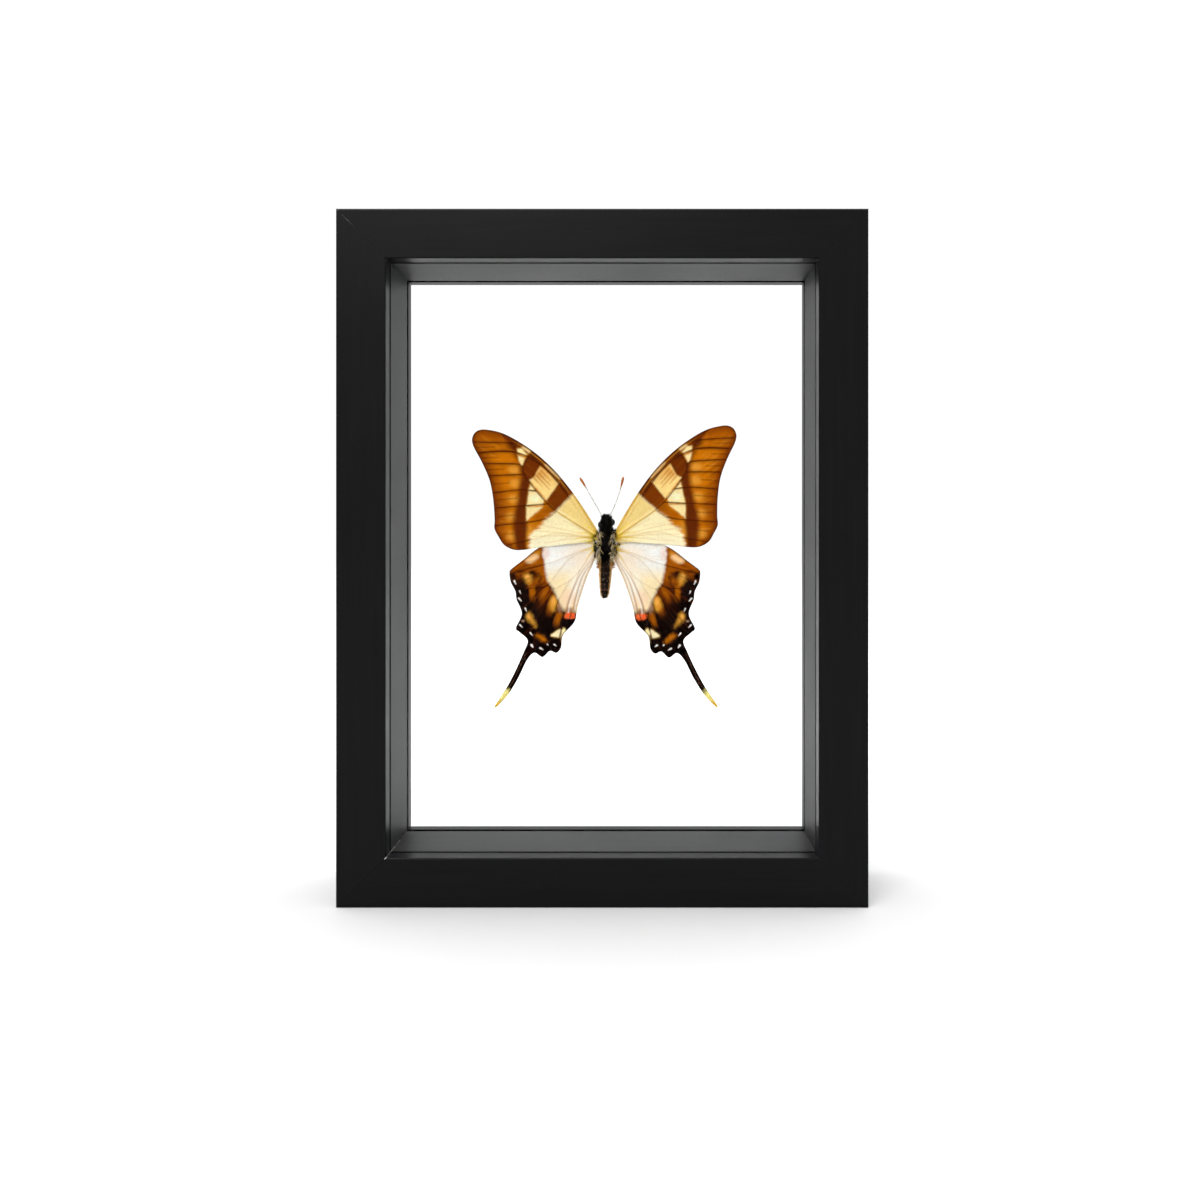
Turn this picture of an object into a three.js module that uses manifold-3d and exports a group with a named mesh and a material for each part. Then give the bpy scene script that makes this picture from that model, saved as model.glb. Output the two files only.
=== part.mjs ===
// A butterfly specimen in a standing double-glass frame.
//
// Millimetres, +Z up. The frame stands on its bottom rail, its front faces -Y, and the origin is the
// centre of its footprint. The butterfly is spread with its back to the front and is fixed by a dot
// of clear glue to the inside of the back glass.

import * as THREE from 'three';
import { mergeVertices } from 'three/addons/utils/BufferGeometryUtils.js';
import Module from 'manifold-3d';

const wasm = await Module();
wasm.setup();

// Frame
const FRAME_WIDTH = 160;
const FRAME_HEIGHT = 210;
const FRAME_DEPTH = 35;
const FACE_WIDTH = 15;
const RABBET_WIDTH = 5;
const LIP_DEPTH = 4.8;
const FRONT_SLOT = 2.4;
const REAR_SLOT = 2.6;
const REAR_BEAD_DEPTH = 3.8;
const EASED_EDGE = 0.6;
const EASED_SIGHT_EDGE = 0.4;
const MITRE_GAP = 0.02;
const STRIP_GAP = 0.1;

// Glass
const GLASS_THICKNESS = 2;
const GLASS_SIDE_GAP = 0.5;

// Butterfly: where its middle is, and how its pieces sit about it
const BODY_X = -0.2;
const BODY_Z = 108;
const FOREWING_Y = 6;
const WING_THICKNESS = 0.4;
const WING_SPACING = 0.8;
const WING_RISE = THREE.MathUtils.degToRad(3);
const FOREWING_TURN = THREE.MathUtils.degToRad(1.08);
const FOREWING_SHIFT = new THREE.Vector2(0.7, 0.08);
const HINDWING_TURN = THREE.MathUtils.degToRad(0.51);
const HINDWING_SHIFT = new THREE.Vector2(0.05, 0.27);
const VEIN_RADIUS = 0.34;
const MAIN_VEIN_RADIUS = 0.45;
const PIECE_GAP = 0.3;

const THORAX_RADII = new THREE.Vector3(2.5, 2.9, 4.5);
const THORAX_CENTRE = new THREE.Vector3(0.3, 8, 1.2);
const ABDOMEN_LENGTH = 13;
const ABDOMEN_RADIUS = 2.1;
const ABDOMEN_RINGS = 7;
const ABDOMEN_RING_DIP = 0.18;
const ABDOMEN_TAPER = 0.42;
const ABDOMEN_TAPER_POWER = 1.3;
const ABDOMEN_BLUNTNESS = 6;
const ABDOMEN_LEAN = THREE.MathUtils.degToRad(1.7);
const BODY_FULLNESS = 2.6;
const HEAD_RADII = new THREE.Vector3(1.9, 1.9, 2.0);
const HEAD_CENTRE = new THREE.Vector3(0.6, 7.2, 7.9);
const EYE_RADIUS = 1.1;
const EYE_STRETCH = 1.15;
const EYE_SPREAD = 1.45;
const PALP_RADIUS = 0.55;
const PALP_STRETCH = 2.2;
const PROBOSCIS_COIL_RADIUS = 0.8;
const PROBOSCIS_RADIUS = 0.28;
const LEG_RADIUS = 0.3;
const ANTENNA_RADIUS = 0.17;
const CLUB_RADIUS = 0.42;
const CLUB_LENGTH = 3.4;
const GLUE_RADIUS = 1.6;
const GLUE_WAIST_RADIUS = 1.36;
const GLUE_WAIST_SHARE = 0.6;
const GLUE_TOP_RADIUS = 0.8;

// Facets: sides around a form, and bands from end to end
const TRUNK_FACETS = [18, 12];
const HEAD_FACETS = [14, 8];
const EYE_FACETS = [10, 8];
const PALP_FACETS = [6, 5];
const CLUB_FACETS = [6, 6];
const COIL_FACETS = [5, 12];
const LEG_FACETS = [5, 6];
const SHAFT_FACETS = [5, 9];
const VEIN_SIDES = 4;
const LATHE_SIDES = 16;
const OUTLINE_STEPS = 2;
const EASED_EDGE_STEPS = 4;

// Wing outlines and veins: millimetres out from the midline and up from the middle of the butterfly.
const FOREWING_OUTLINE = [
  [2.6, 4.9], [6.2, 10.9], [11.3, 18.6], [17.0, 25.6], [23.8, 31.7], [31.6, 36.5], [37.4, 38.1],
  [40.5, 37.8], [42.1, 35.8], [41.9, 33.0], [39.2, 27.5], [37.0, 21.8], [36.0, 15.7], [35.7, 9.5],
  [35.8, 6.5], [34.5, 3.8], [32.9, 1.3], [30.3, -0.2], [27.4, -0.5], [21.4, 0.2], [12.0, 1.1], [2.6, 1.8],
];
const FOREWING_MAIN_VEINS = [
  [[3.2, 4.2], [10.7, 16.9], [19.3, 27.1], [28.1, 33.8], [35.5, 36.9]],
  [[3.2, 3.3], [15.8, 11.6], [22.2, 18.3], [25.9, 23.7], [26.8, 26.4], [25.8, 29.6]],
];
const FOREWING_VEINS = [
  [[3.2, 3.8], [11.6, 15.9], [20.2, 26.3], [29.3, 31.0], [40.0, 30.8]],
  [[28.1, 33.5], [31.9, 33.9], [41.2, 34.2]],
  [[26.6, 26.4], [28.8, 27.1], [38.2, 27.4]],
  [[25.9, 23.7], [31.5, 23.6], [36.6, 23.4]],
  [[22.2, 18.3], [27.2, 18.8], [35.4, 18.0]],
  [[18.4, 14.2], [27.3, 13.6], [35.1, 13.1]],
  [[15.8, 11.6], [21.5, 8.9], [35.1, 7.5]],
  [[3.2, 2.6], [15.6, 4.7], [22.8, 3.1], [31.7, 1.2]],
];
const HINDWING_OUTLINE = [
  [2.9, 1.4], [8.0, 2.7], [14.9, 2.3], [21.2, -0.3], [26.2, -4.1], [30.0, -7.0], [30.7, -8.2],
  [30.3, -11.3], [28.9, -14.2], [28.5, -16.9], [26.9, -21.5], [28.8, -26.0], [27.6, -27.5], [25.1, -30.1],
  [26.4, -33.9], [29.1, -39.8], [32.1, -45.4], [35.7, -50.9], [35.3, -51.5], [31.7, -47.7], [28.3, -42.3],
  [25.4, -36.5], [23.0, -34.1], [20.4, -35.5], [18.0, -33.6], [15.9, -34.2], [14.4, -32.5], [13.7, -28.5],
  [10.0, -24.3], [9.0, -19.6], [7.1, -13.5], [5.4, -8.9], [3.7, -5.3], [2.9, -2.6],
];
const HINDWING_MAIN_VEINS = [
  [[3.5, -0.4], [8.1, -7.6], [11.3, -10.8], [16.4, -13.4], [18.5, -12.3]],
];
const HINDWING_VEINS = [
  [[3.5, 0.4], [13.4, -3.6], [19.2, -5.6], [30.0, -8.4]],
  [[3.5, 0.0], [11.8, -4.3], [18.5, -12.3], [24.4, -13.5], [28.3, -15.9]],
  [[18.5, -12.3], [22.0, -14.9], [25.5, -21.0], [28.2, -25.8]],
  [[16.4, -13.4], [19.1, -18.4], [24.0, -31.7], [29.2, -41.5], [34.0, -49.4]],
  [[11.3, -10.8], [15.1, -17.4], [17.3, -24.6], [20.2, -34.4]],
  [[8.1, -7.6], [11.9, -17.4], [16.0, -33.2]],
  [[3.6, -2.2], [7.3, -10.0], [9.8, -17.7], [12.6, -26.0]],
];

// Legs, folded beneath the body: hip, knee, ankle and toe, out from the midline, deep and up.
const LEG_ROUTES = [
  [[0.8, 10.2, 3.4], [2.7, 9.9, 4.4], [2.2, 10.8, 2.2], [3.9, 10.8, 0.6]],
  [[0.9, 10.4, 2.0], [4.0, 9.9, 2.6], [3.2, 10.8, -0.6], [4.4, 10.8, -3.2]],
  [[0.8, 10.4, 0.2], [2.6, 10.2, -2.0], [2.0, 10.9, -5.0], [1.6, 10.9, -8.0]],
];
const ANTENNA_ROUTES = {
  left: [[-1.0, 6.2, 10.3], [-3.4, 5.4, 14.6], [-6.0, 5.0, 19.2], [-7.9, 4.8, 22.3]],
  right: [[1.7, 6.2, 10.1], [3.6, 5.4, 14.2], [5.2, 5.0, 19.0], [6.1, 4.8, 22.6]],
};

const MATERIALS = {
  lacquer: new THREE.MeshStandardMaterial({ color: 0x1b1c1e, roughness: 0.45, metalness: 0 }),
  glass: new THREE.MeshStandardMaterial({
    color: 0xf2f8f5, roughness: 0.03, metalness: 0, transparent: true, opacity: 0.12,
  }),
  forewing: new THREE.MeshStandardMaterial({ color: 0xc07a14, roughness: 0.8, metalness: 0 }),
  hindwing: new THREE.MeshStandardMaterial({ color: 0xe6cfa0, roughness: 0.8, metalness: 0 }),
  body: new THREE.MeshStandardMaterial({ color: 0x17120e, roughness: 0.9, metalness: 0 }),
  antenna: new THREE.MeshStandardMaterial({ color: 0x8a6a4a, roughness: 0.6, metalness: 0 }),
  glue: new THREE.MeshStandardMaterial({ color: 0xe9e6da, roughness: 0.15, metalness: 0 }),
};

// Heights in the depth stack, counted back from the front face
const FRONT_Y = -FRAME_DEPTH / 2;
const BACK_Y = FRAME_DEPTH / 2;
const LIP_REAR_Y = FRONT_Y + LIP_DEPTH;
const SPACER_FRONT_Y = LIP_REAR_Y + FRONT_SLOT;
const BEAD_FRONT_Y = BACK_Y - REAR_BEAD_DEPTH;
const SPACER_REAR_Y = BEAD_FRONT_Y - REAR_SLOT;
const FRONT_GLASS_Y = (LIP_REAR_Y + SPACER_FRONT_Y) / 2;
const BACK_GLASS_Y = (SPACER_REAR_Y + BEAD_FRONT_Y) / 2;
const BACK_GLASS_FACE_Y = BACK_GLASS_Y - GLASS_THICKNESS / 2;
const RABBET_WALL = FACE_WIDTH - RABBET_WIDTH;

function namedMesh(name, geometry, material) {
  const mesh = new THREE.Mesh(geometry, material);
  mesh.name = name;
  return mesh;
}

// Closed geometry to solid and back, for joining pieces into one
function toSolid(geometry) {
  const bare = geometry.clone();
  bare.deleteAttribute('normal');
  bare.deleteAttribute('uv');
  const merged = mergeVertices(bare, 1e-4);
  return new wasm.Manifold(new wasm.Mesh({
    numProp: 3,
    vertProperties: new Float32Array(merged.attributes.position.array),
    triVerts: new Uint32Array(merged.index.array),
  }));
}

function joined(geometries) {
  const solid = geometries.map(toSolid).reduce((sum, next) => sum.add(next));
  const mesh = solid.getMesh();
  const geometry = new THREE.BufferGeometry();
  geometry.setAttribute('position', new THREE.BufferAttribute(mesh.vertProperties, 3));
  geometry.setIndex(new THREE.BufferAttribute(mesh.triVerts, 1));
  geometry.computeVertexNormals();
  return geometry;
}

// Frame rails and strips

// A straight strip with both ends mitred: the profile is drawn as (in from the frame's edge, deep),
// stretched along the rail, and each end is cut back by as much as it lies in from the edge.
function mitredStrip(profile, railLength) {
  const geometry = new THREE.ExtrudeGeometry(profile, {
    depth: 1, bevelEnabled: false, curveSegments: EASED_EDGE_STEPS,
  });
  const position = geometry.attributes.position;
  for (let i = 0; i < position.count; i += 1) {
    const halfLength = railLength / 2 - position.getX(i) - MITRE_GAP;
    position.setZ(i, (position.getZ(i) - 0.5) * 2 * halfLength);
  }
  geometry.rotateY(-Math.PI / 2);
  geometry.computeVertexNormals();
  return geometry;
}

function fourSides(name, profile, material) {
  const group = new THREE.Group();
  const sides = [
    ['bottom', FRAME_WIDTH, 0, 0, 0],
    ['top', FRAME_WIDTH, 0, FRAME_HEIGHT, Math.PI],
    ['left', FRAME_HEIGHT, -FRAME_WIDTH / 2, FRAME_HEIGHT / 2, Math.PI / 2],
    ['right', FRAME_HEIGHT, FRAME_WIDTH / 2, FRAME_HEIGHT / 2, -Math.PI / 2],
  ];
  for (const [side, length, x, z, turn] of sides) {
    const rail = namedMesh(`${name}_${side}`, mitredStrip(profile, length), material);
    rail.position.set(x, 0, z);
    rail.rotation.y = turn;
    group.add(rail);
  }
  return group;
}

function mouldingProfile() {
  const outer = EASED_EDGE;
  const sight = EASED_SIGHT_EDGE;
  const shape = new THREE.Shape();
  shape.moveTo(outer, FRONT_Y);
  shape.lineTo(FACE_WIDTH - sight, FRONT_Y);
  shape.absarc(FACE_WIDTH - sight, FRONT_Y + sight, sight, -Math.PI / 2, 0, false);
  shape.lineTo(FACE_WIDTH, LIP_REAR_Y);
  shape.lineTo(RABBET_WALL, LIP_REAR_Y);
  shape.lineTo(RABBET_WALL, BACK_Y);
  shape.lineTo(outer, BACK_Y);
  shape.absarc(outer, BACK_Y - outer, outer, Math.PI / 2, Math.PI, false);
  shape.lineTo(0, FRONT_Y + outer);
  shape.absarc(outer, FRONT_Y + outer, outer, Math.PI, Math.PI * 1.5, false);
  return shape;
}

function stripProfile(frontY, rearY) {
  const shape = new THREE.Shape();
  shape.moveTo(RABBET_WALL + STRIP_GAP, frontY);
  shape.lineTo(FACE_WIDTH, frontY);
  shape.lineTo(FACE_WIDTH, rearY);
  shape.lineTo(RABBET_WALL + STRIP_GAP, rearY);
  shape.closePath();
  return shape;
}

// A pane stands in the bottom rail's rabbet, with room at its sides and top.
function pane(name, y) {
  const width = FRAME_WIDTH - 2 * (RABBET_WALL + GLASS_SIDE_GAP);
  const height = FRAME_HEIGHT - 2 * (RABBET_WALL + GLASS_SIDE_GAP);
  const mesh = namedMesh(name, new THREE.BoxGeometry(width, GLASS_THICKNESS, height), MATERIALS.glass);
  mesh.position.set(0, y, RABBET_WALL + height / 2 + MITRE_GAP);
  return mesh;
}

// Butterfly pieces

function curveThrough(points) {
  return new THREE.CatmullRomCurve3(points.map((point) => new THREE.Vector3(...point)), false, 'centripetal');
}

function roundSection(radius, sides) {
  const shape = new THREE.Shape();
  for (let i = 0; i < sides; i += 1) {
    const angle = (i / sides) * 2 * Math.PI;
    const move = i === 0 ? 'moveTo' : 'lineTo';
    shape[move](radius * Math.cos(angle), radius * Math.sin(angle));
  }
  shape.closePath();
  return shape;
}

function tube(points, radius, [sides, steps]) {
  const extrudePath = curveThrough(points);
  return new THREE.ExtrudeGeometry(roundSection(radius, sides), { extrudePath, steps, bevelEnabled: false });
}

// Rounded body: a fullness of 2 is an ellipsoid, and more than 2 squares its shoulders.
function roundedBody(radii, centre, facets, fullness = 2) {
  const geometry = new THREE.SphereGeometry(1, ...facets);
  geometry.rotateX(Math.PI / 2);
  const position = geometry.attributes.position;
  const point = new THREE.Vector3();
  for (let i = 0; i < position.count; i += 1) {
    point.fromBufferAttribute(position, i);
    const sum = point.toArray().reduce((total, part) => total + Math.abs(part) ** fullness, 0);
    point.divideScalar(sum ** (1 / fullness));
    position.setXYZ(i, point.x, point.y, point.z);
  }
  geometry.scale(radii.x, radii.y, radii.z);
  geometry.translate(centre.x, centre.y, centre.z);
  return geometry;
}

// A wing is a thin plate with its veins standing proud of both faces. It is drawn spread to the right
// in the XZ plane; the left one is the same drawing turned over.
function wingGeometry(outline, mainVeins, veins, side) {
  const [first, ...rest] = outline.map(([out, up]) => new THREE.Vector2(side * out, up));
  const shape = new THREE.Shape();
  shape.moveTo(first.x, first.y);
  shape.splineThru(rest);
  shape.closePath();
  const plate = new THREE.ExtrudeGeometry(shape, {
    depth: WING_THICKNESS, bevelEnabled: false, curveSegments: OUTLINE_STEPS,
  });
  plate.translate(0, 0, -WING_THICKNESS / 2);
  const ridge = (route, radius) => {
    const points = route.map(([out, up]) => [side * out, up, 0]);
    return tube(points, radius, [VEIN_SIDES, 2 * (points.length - 1)]);
  };
  const ridges = [
    ...mainVeins.map((route) => ridge(route, MAIN_VEIN_RADIUS)),
    ...veins.map((route) => ridge(route, VEIN_RADIUS)),
  ];
  const geometry = joined([plate, ...ridges]);
  geometry.rotateX(Math.PI / 2);
  return geometry;
}

function wing(name, drawing, side, y, turn, shift, material) {
  const mesh = namedMesh(name, wingGeometry(...drawing, side), material);
  mesh.position.set(shift.x, y, -side * shift.y);
  mesh.rotation.order = 'ZYX';
  mesh.rotation.set(0, -turn, -side * WING_RISE);
  return mesh;
}

function wings() {
  const fore = [FOREWING_OUTLINE, FOREWING_MAIN_VEINS, FOREWING_VEINS];
  const hind = [HINDWING_OUTLINE, HINDWING_MAIN_VEINS, HINDWING_VEINS];
  const hindY = FOREWING_Y + WING_SPACING;
  const pieces = [];
  for (const [sideName, side] of [['left', -1], ['right', 1]]) {
    pieces.push(
      wing(`${sideName}_forewing`, fore, side, FOREWING_Y, FOREWING_TURN, FOREWING_SHIFT, MATERIALS.forewing),
      wing(`${sideName}_hindwing`, hind, side, hindY, HINDWING_TURN, HINDWING_SHIFT, MATERIALS.hindwing),
    );
  }
  return pieces;
}

function thorax() {
  const legs = [];
  for (const side of [-1, 1]) {
    for (const route of LEG_ROUTES) {
      const points = route.map(([out, deep, up]) => [THORAX_CENTRE.x + side * out, deep, up]);
      legs.push(tube(points, LEG_RADIUS, LEG_FACETS));
    }
  }
  const trunk = roundedBody(THORAX_RADII, THORAX_CENTRE, TRUNK_FACETS, BODY_FULLNESS);
  return namedMesh('thorax', joined([trunk, ...legs]), MATERIALS.body);
}

// The abdomen hangs from the thorax and narrows to a blunt tip, drawn in at each ring.
function abdomen() {
  const profile = [new THREE.Vector2(0, 0)];
  const steps = ABDOMEN_RINGS * 2;
  for (let i = 1; i < steps; i += 1) {
    const along = i / steps;
    const taper = 1 - ABDOMEN_TAPER * along ** ABDOMEN_TAPER_POWER;
    const girth = ABDOMEN_RADIUS * taper * Math.sqrt(1 - Math.abs(2 * along - 1) ** ABDOMEN_BLUNTNESS);
    const dip = i % 2 === 0 ? ABDOMEN_RING_DIP : 0;
    profile.push(new THREE.Vector2(girth - dip, along * ABDOMEN_LENGTH));
  }
  profile.push(new THREE.Vector2(0, ABDOMEN_LENGTH));
  const geometry = new THREE.LatheGeometry(profile, LATHE_SIDES);
  geometry.rotateX(-Math.PI / 2);
  const mesh = namedMesh('abdomen', mergeVertices(geometry), MATERIALS.body);
  const top = THORAX_CENTRE.z - THORAX_RADII.z - PIECE_GAP;
  mesh.position.set(THORAX_CENTRE.x, THORAX_CENTRE.y, top);
  mesh.rotation.y = ABDOMEN_LEAN;
  return mesh;
}

// The head carries its two eyes, two short palps and the coiled tongue.
function head() {
  const pieces = [roundedBody(HEAD_RADII, HEAD_CENTRE, HEAD_FACETS, BODY_FULLNESS)];
  const eyeRadii = new THREE.Vector3(EYE_RADIUS, EYE_RADIUS, EYE_RADIUS * EYE_STRETCH);
  const palpRadii = new THREE.Vector3(PALP_RADIUS, PALP_RADIUS, PALP_RADIUS * PALP_STRETCH);
  for (const side of [-1, 1]) {
    const eye = HEAD_CENTRE.clone().add(new THREE.Vector3(side * EYE_SPREAD, 0, 0));
    const palp = HEAD_CENTRE.clone().add(new THREE.Vector3(side * PALP_RADIUS, PALP_RADIUS, HEAD_RADII.z));
    pieces.push(roundedBody(eyeRadii, eye, EYE_FACETS), roundedBody(palpRadii, palp, PALP_FACETS));
  }
  const coil = new THREE.TorusGeometry(PROBOSCIS_COIL_RADIUS, PROBOSCIS_RADIUS, ...COIL_FACETS);
  coil.rotateY(Math.PI / 2);
  coil.translate(HEAD_CENTRE.x, HEAD_CENTRE.y + HEAD_RADII.y + PROBOSCIS_RADIUS, HEAD_CENTRE.z);
  return namedMesh('head', joined([...pieces, coil]), MATERIALS.body);
}

function antenna(sideName) {
  const route = ANTENNA_ROUTES[sideName];
  const tip = new THREE.Vector3(...route[route.length - 1]);
  const along = curveThrough(route).getTangent(1);
  const club = new THREE.SphereGeometry(1, ...CLUB_FACETS);
  club.scale(CLUB_RADIUS, CLUB_LENGTH / 2, CLUB_RADIUS);
  club.applyQuaternion(new THREE.Quaternion().setFromUnitVectors(new THREE.Vector3(0, 1, 0), along));
  const middle = tip.addScaledVector(along, -CLUB_LENGTH / 2);
  club.translate(middle.x, middle.y, middle.z);
  const shaft = tube(route, ANTENNA_RADIUS, SHAFT_FACETS);
  return namedMesh(`${sideName}_antenna`, joined([shaft, club]), MATERIALS.antenna);
}

// The glue is a low round drop between the underside of the thorax and the back glass.
function glueDot() {
  const thoraxRear = THORAX_CENTRE.y + THORAX_RADII.y;
  const share = 1 - (GLUE_TOP_RADIUS / THORAX_RADII.z) ** BODY_FULLNESS;
  const reach = THORAX_RADII.y * share ** (1 / BODY_FULLNESS);
  const profile = [
    new THREE.Vector2(0, 0),
    new THREE.Vector2(GLUE_RADIUS, 0),
    new THREE.Vector2(GLUE_WAIST_RADIUS, (BACK_GLASS_FACE_Y - thoraxRear) * GLUE_WAIST_SHARE),
    new THREE.Vector2(GLUE_TOP_RADIUS, BACK_GLASS_FACE_Y - THORAX_CENTRE.y - reach),
    new THREE.Vector2(0, BACK_GLASS_FACE_Y - thoraxRear),
  ];
  const geometry = new THREE.LatheGeometry(profile, LATHE_SIDES);
  geometry.rotateX(Math.PI);
  const mesh = namedMesh('glue_dot', mergeVertices(geometry), MATERIALS.glue);
  mesh.position.set(THORAX_CENTRE.x, BACK_GLASS_FACE_Y, THORAX_CENTRE.z);
  return mesh;
}

function butterfly() {
  const group = new THREE.Group();
  group.position.set(BODY_X, 0, BODY_Z);
  group.add(head(), thorax(), abdomen(), antenna('left'), antenna('right'), ...wings(), glueDot());
  return group;
}

const framedButterfly = new THREE.Group();
framedButterfly.add(
  fourSides('frame', mouldingProfile(), MATERIALS.lacquer),
  fourSides('spacer', stripProfile(SPACER_FRONT_Y, SPACER_REAR_Y), MATERIALS.lacquer),
  fourSides('rear_bead', stripProfile(BEAD_FRONT_Y, BACK_Y), MATERIALS.lacquer),
  pane('front_glass', FRONT_GLASS_Y),
  pane('back_glass', BACK_GLASS_Y),
  butterfly(),
);

export default framedButterfly;
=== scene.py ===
import math
from typing import NamedTuple

import bpy
import numpy as np
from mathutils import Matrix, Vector
from mathutils.geometry import delaunay_2d_cdt


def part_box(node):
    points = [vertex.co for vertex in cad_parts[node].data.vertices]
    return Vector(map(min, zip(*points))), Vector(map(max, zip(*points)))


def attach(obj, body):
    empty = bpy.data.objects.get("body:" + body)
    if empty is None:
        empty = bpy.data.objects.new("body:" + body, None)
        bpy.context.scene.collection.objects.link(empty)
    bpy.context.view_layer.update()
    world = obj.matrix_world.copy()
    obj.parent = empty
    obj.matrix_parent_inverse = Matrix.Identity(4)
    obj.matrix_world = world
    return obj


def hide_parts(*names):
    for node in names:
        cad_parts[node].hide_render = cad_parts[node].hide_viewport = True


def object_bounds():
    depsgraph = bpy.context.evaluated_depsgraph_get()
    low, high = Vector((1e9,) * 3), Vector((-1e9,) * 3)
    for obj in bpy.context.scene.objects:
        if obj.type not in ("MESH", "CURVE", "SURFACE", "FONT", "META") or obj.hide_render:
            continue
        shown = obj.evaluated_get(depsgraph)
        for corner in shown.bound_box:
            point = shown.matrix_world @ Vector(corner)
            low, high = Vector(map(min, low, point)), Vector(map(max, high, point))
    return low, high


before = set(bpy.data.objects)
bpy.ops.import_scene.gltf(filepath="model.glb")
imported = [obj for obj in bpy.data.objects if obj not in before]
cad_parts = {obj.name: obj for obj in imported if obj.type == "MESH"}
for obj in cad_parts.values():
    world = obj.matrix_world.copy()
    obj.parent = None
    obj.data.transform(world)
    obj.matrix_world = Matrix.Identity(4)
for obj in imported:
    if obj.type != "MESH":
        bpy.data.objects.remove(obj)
CAD_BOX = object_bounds()
MM = 0.001

# The frame, and where the butterfly sits in it, in millimetres and degrees
FRAME_WIDTH = (CAD_BOX[1][0] - CAD_BOX[0][0]) / MM
FRAME_HEIGHT = (CAD_BOX[1][2] - CAD_BOX[0][2]) / MM
BODY_X = -0.2
BODY_Z = 108.0
BODY_ORIGIN = np.array((BODY_X, 0.0, BODY_Z))
FOREWING_Y = 6.0
HINDWING_Y = 6.65
WING_RISE = 3.0
FOREWING_TURN = 1.08
FOREWING_SHIFT = (0.7, 0.08)
HINDWING_TURN = 0.51
HINDWING_SHIFT = (0.05, 0.27)
FOREWING_CURL = -0.8
HINDWING_CURL = 0.5
WING_THICKNESS = 0.16
WING_SPACING = 0.25

# Wing outlines and veins: millimetres out from the midline and up from the butterfly's middle
FOREWING_OUTLINE = [
    (2.6, 4.9), (6.2, 10.9), (11.3, 18.6), (17.0, 25.6), (23.8, 31.7), (31.6, 36.5), (37.4, 38.1),
    (40.5, 37.8), (42.1, 35.8), (41.9, 33.0), (39.2, 27.5), (37.0, 21.8), (36.0, 15.7), (35.7, 9.5),
    (35.8, 6.5), (34.5, 3.8), (32.9, 1.3), (30.3, -0.2), (27.4, -0.5), (21.4, 0.2), (12.0, 1.1), (2.6, 1.8),
]
FOREWING_COSTA = [(3.2, 4.6), (10.7, 17.1), (19.3, 27.4), (28.1, 34.0), (35.5, 37.0)]
FOREWING_CUBITUS = [(3.2, 3.3), (15.8, 11.6), (22.2, 18.3), (25.9, 23.7), (26.2, 26.2), (24.7, 29.2)]
FOREWING_RADIUS = [(3.2, 3.8), (11.6, 15.9), (20.2, 26.3), (29.3, 31.0), (40.2, 30.8)]
FOREWING_BRANCHES = [
    [(28.1, 33.5), (31.9, 33.9), (41.6, 34.2)],
    [(29.3, 31.0), (34.0, 31.2), (40.4, 30.8)],
    [(26.6, 26.4), (28.8, 27.1), (38.6, 27.4)],
    [(25.9, 23.7), (31.5, 23.6), (37.0, 23.4)],
    [(22.2, 18.3), (27.2, 18.8), (35.9, 18.0)],
    [(18.4, 14.2), (27.3, 13.6), (35.6, 13.1)],
    [(15.8, 11.6), (21.5, 8.9), (35.5, 7.5)],
    [(3.2, 2.6), (15.6, 4.7), (22.8, 3.1), (31.9, 1.2)],
]
HINDWING_OUTLINE = [
    (2.9, 1.4), (8.0, 2.7), (14.9, 2.3), (21.2, -0.3), (26.2, -4.1), (30.0, -7.0), (30.7, -8.2),
    (30.3, -11.3), (28.9, -14.2), (28.5, -16.9), (26.9, -21.5), (28.8, -26.0), (27.6, -27.5),
    (25.1, -30.1), (26.4, -33.9), (29.1, -39.8), (32.1, -45.4), (35.7, -50.9), (35.3, -51.5),
    (31.7, -47.7), (28.3, -42.3), (25.4, -36.5), (23.0, -34.1), (20.4, -35.5), (18.0, -33.6),
    (15.9, -34.2), (14.4, -32.5), (13.7, -28.5), (10.0, -24.3), (9.0, -19.6), (7.1, -13.5),
    (5.4, -8.9), (3.7, -5.3), (2.9, -2.6),
]
HINDWING_CELL = [(3.5, -0.4), (8.1, -7.6), (11.3, -10.8), (16.4, -13.4), (18.5, -12.3)]
HINDWING_VEINS = [
    [(3.5, 0.4), (13.4, -3.6), (19.2, -5.6), (30.2, -8.6)],
    [(3.5, 0.0), (11.8, -4.3), (18.5, -12.3), (24.4, -13.5), (28.5, -16.1)],
    [(18.5, -12.3), (22.0, -14.9), (25.5, -21.0), (28.4, -25.9)],
    [(16.4, -13.4), (19.1, -18.4), (24.0, -31.7), (29.2, -41.5), (34.0, -49.4)],
    [(11.3, -10.8), (15.1, -17.4), (17.3, -24.6), (20.3, -34.9)],
    [(8.1, -7.6), (11.9, -17.4), (14.1, -25.7), (16.0, -33.6)],
    [(3.6, -2.2), (7.3, -10.0), (9.8, -17.7), (12.6, -26.4)],
]
HINDWING_FOLDS = [
    [(3.8, -3.9), (8.1, -9.2), (11.6, -17.2), (12.5, -21.2)],
    [(3.3, -3.9), (7.3, -9.7), (9.5, -16.4), (10.3, -20.4)],
]

# Camera: 0.3 mm to a pixel on the frame's front face, in a picture 1200 pixels wide
PICTURE_WIDTH_PX = 1200
MM_PER_PX = 0.3
CAMERA_DISTANCE = 308.4
CAMERA_X = 13.3
CAMERA_Z = 112.5
AXIS_PX = (646.5, 533.1)
SENSOR_WIDTH = 36.0
CLIP_START = 0.01


# Colour and material helpers

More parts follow.
